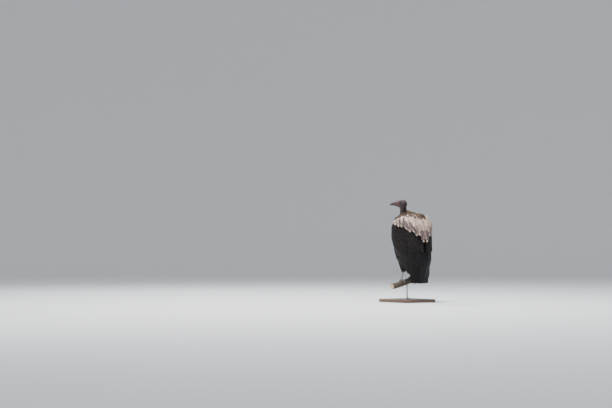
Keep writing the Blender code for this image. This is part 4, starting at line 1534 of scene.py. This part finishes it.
    def carve(self, data: bpy.types.Mesh) -> None:
        """Moves the skin's points into folds, lids, pits and scutes, and marks its zones."""
        spots, normals = vectors(data.vertices, "co"), vectors(data.vertex_normals, "vector")
        back = np.array(HEAD_BACK)
        local = spots @ back[:3, :3].T + back[:3, 3]
        height = spots[:, 2] - PERCH_TOP
        head = rise(height, 0.44, 0.03)
        legs = 1 - rise(height, *LEG_END)
        move = self.face_relief(local, spots) * head + self.toe_relief(spots) * legs
        spots += normals * move[:, None]
        spots += self.jaw_drop(local)[:, None] * np.array(HEAD_PLACE)[:3, 2] * head[:, None]
        data.vertices.foreach_set("co", spots.astype(np.float32).ravel())
        for name, values in self.zones(local, spots, height).items():
            mark = data.attributes.new(name, "FLOAT", "POINT")
            mark.data.foreach_set("value", values.astype(np.float32))

    def zones(self, local: np.ndarray, spots: np.ndarray, height: np.ndarray) -> dict[str, np.ndarray]:
        """How strongly each point of the skin belongs to each zone of colour."""
        x, y, z = local.T
        bare = rise(height, *FACE_START)
        mouth = bump(z, GAPE_HEIGHT, 0.0012) * rise(x, 0.024, 0.004)
        lids = bump(np.hypot(x - EYE_SPOT.x, z - EYE_SPOT.z), 0, 0.0062, 4)
        nostril = bump(x, NOSTRIL[0], 0.0016) * bump(z - 0.4 * (x - NOSTRIL[0]), NOSTRIL[1], 0.0032)
        ear = bump(x, EAR[0], 0.0022) * bump(z, EAR[1], 0.0030)
        nape = rise(z, -0.002, -0.014) * rise(x, 0.006, -0.014)
        mantle = np.minimum(*(self.near(f"scapulars_{name}", spots) for name in SIDES))
        return {
            "bare": bare,
            "slate": bump(x, 0.012, 0.0085) * rise(z, -0.016, 0.02) * bare,
            "flush": rise(x, 0.018, 0.016) * rise(x, 0.066, -0.006) * bare,
            "leg": 1 - rise(height, *LEG_END),
            # nape: the neck under and behind the head, where the skin is darkened as painted shade.
            "nape": np.maximum(nape, rise(z, -0.024, -0.016)),
            "mantle": 1 - rise(mantle, 0.0045, 0.002),
            # dark: painted shade in the gape, round the eye rims, in the nostrils and in the ear holes.
            "dark": np.clip(mouth + lids * 0.85 + nostril * 0.95 + ear * 0.8, 0, 1) * bare,
        }

    @staticmethod
    def near(node: str, spots: np.ndarray, reach: float = 0.02) -> np.ndarray:
        """How far points lie from the surface of a CAD solid, up to a reach."""
        tree = BVHTree.FromObject(bpy.data.objects[node], bpy.context.evaluated_depsgraph_get())
        found = (tree.find_nearest(Vector(spot), reach)[3] for spot in spots)
        return np.array([reach if gap is None else gap for gap in found])

    @staticmethod
    def jaw_drop(local: np.ndarray) -> np.ndarray:
        """How far the cere's lower rim hangs down past its round section, to close the mouth."""
        x, y, z = local.T
        places, halves, tops, lows = zip(
            (0.0464, 0.0098, 0.0212, -0.0066), (0.054, 0.0086, 0.0196, -0.0068),
            (0.063, 0.0072, 0.0162, -0.0058), (0.0705, 0.0062, 0.0138, -0.0050),
        )
        half, top, low = (np.interp(x, places, values) for values in (halves, tops, lows))
        middle, deep = (top + low) / 2, (top - low) / 2
        drop = squared(np.clip(np.abs(y) / half, 0, 1), deep)
        return -drop * smooth((middle - z) / (deep * 0.6)) * rise(x, 0.0455, 0.0012)

    @staticmethod
    def face_relief(local: np.ndarray, spots: np.ndarray) -> np.ndarray:
        """How far the skin of the head and neck moves out, for points in the head's frame."""
        x, y, z = local.T
        eye = np.hypot(x - EYE_SPOT.x, z - EYE_SPOT.z)
        lid = 0.0004 * bump(eye, 0.0112, 0.0012)
        lid -= 0.0007 * bump(eye, 0.0090, 0.0011) + 0.0003 * bump(eye, 0.0134, 0.0010)
        line = 0.0175 - 0.10 * (x - 0.020)
        brow = 0.0012 * bump(z, line, 0.0022) * rise(x, 0.006, 0.008) * rise(x, 0.038, -0.008)
        hole = np.hypot(x - EAR[0], z - EAR[1])
        ear = 0.0004 * bump(hole, 0.0044, 0.0010) - 0.0034 * bump(hole, 0, 0.0026)
        slit = np.hypot((x - NOSTRIL[0]) / 0.0013, (z - NOSTRIL[1] - 0.4 * (x - NOSTRIL[0])) / 0.0030)
        nostril = 0.0005 * bump(slit, 1.9, 0.5) - 0.0030 * bump(slit, 0, 1)
        gape = -0.0010 * bump(z, GAPE_HEIGHT, 0.0009) * rise(x, 0.026, 0.004)
        cheek = 0.0006 * np.sin((x * 0.8 - z) * TAU / 0.0062) * bump(x, 0.012, 0.010) * rise(z, 0.004, -0.008)
        throat = rise(z, -0.020, -0.010)
        chin = 0.0022 * bump(x, 0.020, 0.012) * bump(z, -0.030, 0.008)
        scalp = -0.0003 * np.abs(np.sin(x * TAU / 0.009 + z * 90)) * rise(z, 0.012, 0.01)
        wrinkle = np.zeros(len(x))
        for i in np.flatnonzero(spots[:, 2] > PERCH_TOP + 0.43):
            point = Vector(spots[i])
            coarse, fine = noise.noise(point * 170), noise.noise(point * 420)
            wave = math.sin(point.z * TAU / 0.0058 + coarse * 3.0)
            wrinkle[i] = 0.00042 * (coarse + wave * throat[i]) + 0.00020 * fine
        sides = (lid + brow + ear + nostril + gape + cheek) * rise(np.abs(y), 0.004, 0.004)
        return sides + chin + wrinkle + scalp

    @staticmethod
    def toe_relief(spots: np.ndarray) -> np.ndarray:
        """Scutes across the top of the toes and down the front of the shanks."""
        move = np.zeros(len(spots))
        low = np.flatnonzero(spots[:, 2] < PERCH_TOP + 0.085)
        near = spots[low]
        best = np.full(len(low), np.inf)
        wave = np.zeros(len(low))
        for side, toe, k in itertools.product(SIDES.values(), TOES.values(), range(61)):
            gap = np.linalg.norm(near - np.array(toe_spot(toe, side, k / 60)), axis=1)
            run = k / 60 * math.radians(toe.reach) * (PERCH_RADIUS + TOE_RADIUS)
            wave = np.where(gap < best, abs(math.sin(run * math.pi / 0.0034)) ** 0.6, wave)
            best = np.minimum(best, gap)
        centre = np.array(PERCH_TURN.translation)
        outward = np.linalg.norm((near - centre)[:, 1:], axis=1) - PERCH_RADIUS - TOE_RADIUS
        toes = (wave - 0.6) * 0.00055 * rise(outward, -0.001, 0.003) * rise(best, 0.009, -0.002)
        shank = 0.0005 * (np.abs(np.sin(near[:, 2] * math.pi / 0.0048)) ** 0.6 - 0.6)
        high = rise(near[:, 2], PERCH_TOP + 0.016, 0.006)
        move[low] = toes * (1 - high) + shank * high
        return move

    @staticmethod
    def hide() -> bpy.types.Material:
        """Bare face skin, scaled leg skin and dark downy skin, in one material."""
        look = Finish("bird_skin", 0.55, Subsurface_Weight=0.06)
        look.shader.inputs["Subsurface Radius"].default_value = (0.006, 0.002, 0.001)
        bare, slate, flush = look.mark("bare"), look.mark("slate"), look.mark("flush")
        leg, dark = look.mark("leg"), look.mark("dark")
        cloud = look.noise(110, 4, 0.6)
        fine = look.noise(700, 3, 0.65)
        pits = look.cells(560)
        # The bare face's mauve and rose are the skin's colours darkened as painted shade over the head.
        mauve = look.mix(cloud.between(0.35, 0.7), (0.026, 0.0125, 0.0175), (0.053, 0.0260, 0.0330))
        rose = look.mix(cloud.between(0.3, 0.7), (0.062, 0.0195, 0.0225), (0.112, 0.0400, 0.0395))
        face = look.mix(flush * (0.65 + cloud * 0.5).least(1.0), mauve, rose)
        face = look.mix((slate * (0.5 + cloud * 0.9)).least(1.0) * 0.85, face, (0.0165, 0.0140, 0.0215))
        # Painted shade in the gape, eye rims, nostrils and ear holes.
        face = look.mix(dark, face, (0.020, 0.012, 0.014))
        face = look.mix(fine.between(0.25, 0.5) * 0.25 + 0.75, (0.028, 0.0130, 0.0165), face)
        scale = look.cells(420, "DISTANCE_TO_EDGE")
        # The nape and neck are darkened to near-black as painted shade under the head.
        face = look.mix(look.mark("nape") * (0.75 + cloud * 0.3).least(0.95), face, (0.0185, 0.0090, 0.0118))
        grey = look.mix(cloud.between(0.3, 0.7), (0.215, 0.210, 0.210), (0.32, 0.31, 0.295))
        grey = look.mix(scale.between(0.0, 0.10) * 0.5 + 0.5, (0.13, 0.12, 0.118), grey)
        down = look.mix(cloud, (0.012, 0.009, 0.008), (0.028, 0.020, 0.017))
        # Pale skin under the mantle, in the mantle plumage's colour, which is partly painted sunlight.
        pale = look.mix(cloud.between(0.3, 0.7), (0.40, 0.290, 0.235), (0.58, 0.425, 0.345))
        down = look.mix(look.mark("mantle"), down, pale)
        look.colour(look.mix(leg, look.mix(bare, down, face), grey))
        look.rough(0.48 + cloud * 0.22 + leg * 0.05)
        height = (fine * 0.6 + pits * 0.5) * (1 - leg) + scale.between(0.0, 0.12) * leg
        look.relief(height, 0.0005, 0.8)
        return look.material


# The perch and the stand


@dataclass
class Perch:
    """The cut length of branch that the bird grips."""

    length: float = 0.300
    rings: int = 150
    sides: int = 72
    knots: Sequence[tuple] = ((-0.105, 1.9, 0.010), (0.112, -1.5, 0.008), (0.008, 2.9, 0.007))

    def heart(self, x: float) -> tuple[Vector, float]:
        """The middle of the branch, which bends at its ends, and how far into a bend it is."""
        beyond = max(abs(x) / self.length * 2 - 0.55, 0.0)
        return Vector((x, math.copysign(0.05, x) * beyond**2, 0.04 * beyond**2)), beyond

    def build(self) -> None:
        """Makes the branch with its bark, its knots and its sawn ends."""
        mesh = bmesh.new()
        rings = []
        for i in range(self.rings):
            share = i / (self.rings - 1) * 2 - 1
            middle, beyond = self.heart(share * self.length / 2)
            radius = PERCH_RADIUS * (1.0 - 0.03 * share + 0.10 * beyond)
            rings.append((PERCH_TURN @ middle, PERCH_WAY, Vector((0, 1, 0)), radius, radius))
        lofted(mesh, rings, self.sides)
        back = PERCH_TURN.inverted()
        ends = [face for face in mesh.faces if len(face.verts) > 8]
        for vert in mesh.verts:
            vert.co = PERCH_TURN @ self.barked(back @ vert.co)
        bmesh.ops.inset_individual(mesh, faces=ends, thickness=0.0024, depth=0.0)
        cut = mesh.faces.layers.float.new("cut")
        for face in mesh.faces:
            face[cut] = float(len(face.verts) > 8)
        finish_mesh("perch_bark", mesh, self.bark(), "bark", "perch_branch")

    def barked(self, spot: Vector) -> Vector:
        """A point of the round branch, moved into the bark's ridges and knots."""
        away = spot - self.heart(spot.x)[0]
        turn = math.atan2(away.y, away.z)
        line = Vector((spot.x * 22, math.sin(turn) * 3.6, math.cos(turn) * 3.6))
        ridge = abs(noise.noise(line * 1.3)) + 0.5 * abs(noise.noise(line * 2.9 + Vector((5, 1, 2))))
        move = -0.0016 * max(0.45 - ridge, 0.0) / 0.45
        for along, around, size in self.knots:
            gap = math.hypot(spot.x - along, math.remainder(turn - around, TAU) * PERCH_RADIUS)
            move += 0.0018 * bump(gap, 0, size) - 0.0022 * bump(gap, 0, size * 0.4)
        return spot + away.normalized() * move

    @staticmethod
    def bark() -> Finish:
        """Grey-brown bark with lichen, and pale sawn wood at the ends."""
        look = Finish("perch_bark", 0.88)
        cut = look.mark("cut")
        grain, fissure, rings = (
            look.noise(1.0, detail, rough, look.stretched(scale, (0, -PERCH_SLOPE, 0)))
            for detail, rough, scale in (
                (5, 0.65, (26, 120, 120)), (4, 0.7, (34, 210, 210)), (2, 0.4, (8, 260, 260)),
            )
        )
        cracks = (fissure - 0.5).distance().between(0.0, 0.045)
        cloud = look.noise(45, 4)
        fleck = look.noise(520, 2, 0.7)
        tone = look.ramp(
            grain, (0.28, (0.040, 0.029, 0.022)), (0.5, (0.115, 0.086, 0.066)), (0.75, (0.215, 0.172, 0.138))
        )
        tone = look.mix(cloud.between(0.56, 0.68) * fleck.between(0.42, 0.58) * 0.7, tone, (0.30, 0.31, 0.25))
        # Near-black in the bark's fissures: painted shade in the cracks.
        tone = look.mix((1 - cracks) * 0.75, tone, (0.020, 0.014, 0.011))
        wood = look.mix(rings.between(0.4, 0.6), (0.52, 0.37, 0.22), (0.66, 0.50, 0.33))
        look.colour(look.mix(cut, tone, wood))
        look.rough(0.86 - cut * 0.15)
        look.relief((grain * 0.6 + cracks * 0.5 + fleck * 0.2) * (1 - cut * 0.8), 0.0012)
        return look


def box_of(node: str) -> tuple[Vector, Vector]:
    """The low and the high corner of a node's box."""
    low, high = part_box(node)
    return Vector(low), Vector(high)


@dataclass
class Stand:
    """The display stand: a flat wooden base, a steel rod and its collar."""

    corner: float = 0.030
    rim: float = 0.004
    foot: float = 0.0012

    def build(self) -> None:
        """Makes the three pieces."""
        self.base()
        self.rod()

    def base(self) -> None:
        """Makes the bevelled wooden base."""
        low, high = box_of("stand_base")
        mesh = bmesh.new()
        place = Matrix.Translation((low + high) / 2) @ Matrix.Diagonal((*(high - low), 1))
        bmesh.ops.create_cube(mesh, size=1.0, matrix=place)
        for belongs, offset, segments in (
            (lambda ends: max(ends) - min(ends) > 0.01, self.corner, 14),
            (lambda ends: min(ends) > high.z - 1e-4, self.rim, 6),
            (lambda ends: max(ends) < low.z + 1e-4, self.foot, 3),
        ):
            edges = [edge for edge in mesh.edges if belongs([vert.co.z for vert in edge.verts])]
            bmesh.ops.bevel(
                mesh, geom=edges, offset=offset, segments=segments, profile=0.5, affect="EDGES", material=-1
            )
        finish_mesh("stand_plinth", mesh, self.walnut(), "stand_wood", "stand_base")

    @staticmethod
    def walnut() -> Finish:
        """Oiled walnut, with its grain along the base."""
        look = Finish("stand_walnut", 0.38, Coat_Weight=0.25, Coat_Roughness=0.18)
        grain = look.noise(1.0, 6, 0.62, look.stretched((70, 5, 70)))
        figure = look.noise(1.0, 3, 0.5, look.stretched((14, 1.6, 14)))
        tone = look.ramp(
            figure * 0.5 + grain * 0.5,
            (0.32, (0.035, 0.017, 0.009)), (0.5, (0.095, 0.048, 0.026)), (0.7, (0.175, 0.098, 0.055)),
        )
        pores = look.noise(1.0, 2, 0.7, look.stretched((900, 40, 900))).between(0.66, 0.74)
        look.colour(look.mix(pores * 0.6, tone, (0.018, 0.010, 0.006)))
        look.rough(0.32 + grain * 0.16)
        look.relief(grain * 0.5 - pores * 0.7, 0.0003)
        return look

    @staticmethod
    def steel() -> Finish:
        """Steel that is brushed round the rod."""
        look = Finish("stand_brushed_steel", 0.3, Metallic=1.0)
        brush = look.noise(1.0, 3, 0.6, look.stretched((40, 40, 2600)))
        look.colour(look.mix(brush, (0.40, 0.40, 0.41), (0.62, 0.62, 0.63)))
        look.rough(0.24 + brush * 0.2)
        look.relief(brush, 0.00008)
        return look

    def rod(self) -> None:
        """Makes the steel rod, and the turned collar at its foot."""
        steel = self.steel()
        low, high = box_of("stand_rod")
        radius = (high.x - low.x) / 2
        mesh = bmesh.new()
        bmesh.ops.create_cone(
            mesh, cap_ends=True, segments=48, radius1=radius, radius2=radius, depth=high.z - low.z,
            matrix=Matrix.Translation((0, 0, (low.z + high.z) / 2)),
        )
        finish_mesh("stand_post", mesh, steel, "stand_steel", "stand_rod")
        low, high = box_of("stand_collar")
        wide, tall, bore = (high.x - low.x) / 2, high.z - low.z, radius + 0.0003
        profile = (
            (bore, 0.0), (wide - 0.0004, 0.0), (wide, 0.0004), (wide, tall * 0.42),
            (wide - 0.0012, tall * 0.52), (wide * 0.82, tall * 0.58), (wide * 0.70, tall * 0.78),
            (wide * 0.62, tall * 0.98), (wide * 0.60, tall), (bore, tall),
        )
        mesh = spun([(x, low.z + z) for x, z in profile], 64, closed=True)
        finish_mesh("stand_flange", mesh, steel, "stand_steel", "stand_collar")


# The studio


@dataclass
class Studio:
    """The floor, the lights and the camera."""

    azimuth: float = math.radians(140)
    distance: float = 9.0
    eye_height: float = 0.34
    frame_width: float = 4.406
    aside: float = -0.726
    raised: float = 0.537
    lamps: Sequence[tuple] = (
        ("key_light", 1.3, 0.8, 4.8, 1.8, 440),
        ("rim_light", -2.4, 2.2, 3.9, 2.0, 110),
        ("fill_light", 3.6, 2.8, 1.8, 2.4, 22),
    )

    def build(self) -> None:
        """Sets up the studio."""
        self.floor()
        self.lights()
        self.camera()

    def towards(self) -> Vector:
        """The level way from the bird to the camera."""
        return Vector((math.sin(self.azimuth), -math.cos(self.azimuth), 0))

    def right(self) -> Vector:
        """The level way to the right of the picture."""
        return Vector((0, 0, 1)).cross(self.towards())

    @staticmethod
    def floor() -> None:
        """Makes a pale floor that sweeps up into a pale wall all round."""
        profile = [(0.0, 0.0), (4.0, 0.0), (12.0, 0.0)]
        for k in range(1, 13):
            turn = k / 12 * math.pi / 2
            profile.append((12.0 + 4.0 * math.sin(turn), 4.0 - 4.0 * math.cos(turn)))
        profile.append((16.0, 9.0))
        mesh = spun([(x, z - 0.0005) for x, z in profile], 72, closed=False)
        bmesh.ops.reverse_faces(mesh, faces=mesh.faces)
        look = Finish("studio_floor", 0.9)
        look.colour((0.80, 0.81, 0.82))
        floor = linked("studio_floor", settled("studio_floor", mesh))
        floor.data.materials.append(look.material)

    def lights(self) -> None:
        """Sets a large soft key high over the camera, a weak rim and fill, and pale air."""
        for name, ahead, aside, height, size, power in self.lamps:
            place = self.towards() * ahead - self.right() * aside + Vector((0, 0, height))
            lamp = bpy.data.lights.new(name, "AREA")
            lamp.size = size
            lamp.energy = power
            light = linked(name, lamp)
            light.location = place
            aim = Vector((0, 0.04, PERCH_TOP + 0.28)) - place
            light.rotation_euler = aim.to_track_quat("-Z", "Y").to_euler()
        world = bpy.data.worlds.new("studio_air")
        bpy.context.scene.world = world
        world.use_nodes = True
        air = world.node_tree.nodes["Background"]
        air.inputs["Color"].default_value = (0.90, 0.94, 1.0, 1.0)
        air.inputs["Strength"].default_value = 0.62

    def camera(self) -> None:
        """The camera behind the bird's left shoulder, with the bird to the right of the middle."""
        lens = bpy.data.cameras.new("studio_camera")
        lens.sensor_width = 36.0
        lens.lens = 36.0 * self.distance / self.frame_width
        camera = linked("studio_camera", lens)
        place = self.towards() * self.distance + Vector((0, 0, self.eye_height))
        aim = self.right() * self.aside + Vector((0, 0, PERCH_TOP + self.raised)) - place
        camera.location = place
        camera.rotation_euler = aim.to_track_quat("-Z", "Y").to_euler()
        bpy.context.scene.camera = camera


# The whole


def main() -> None:
    """Builds and dresses the whole model."""
    Studio().build()
    Stand().build()
    Perch().build()
    Skin().build()
    Eyes().build()
    Bill().build()
    Claws().build()
    WingPlumage().build()
    BodyPlumage().build()


if __name__ == "__main__":
    logging.basicConfig(level=logging.INFO)
    main()
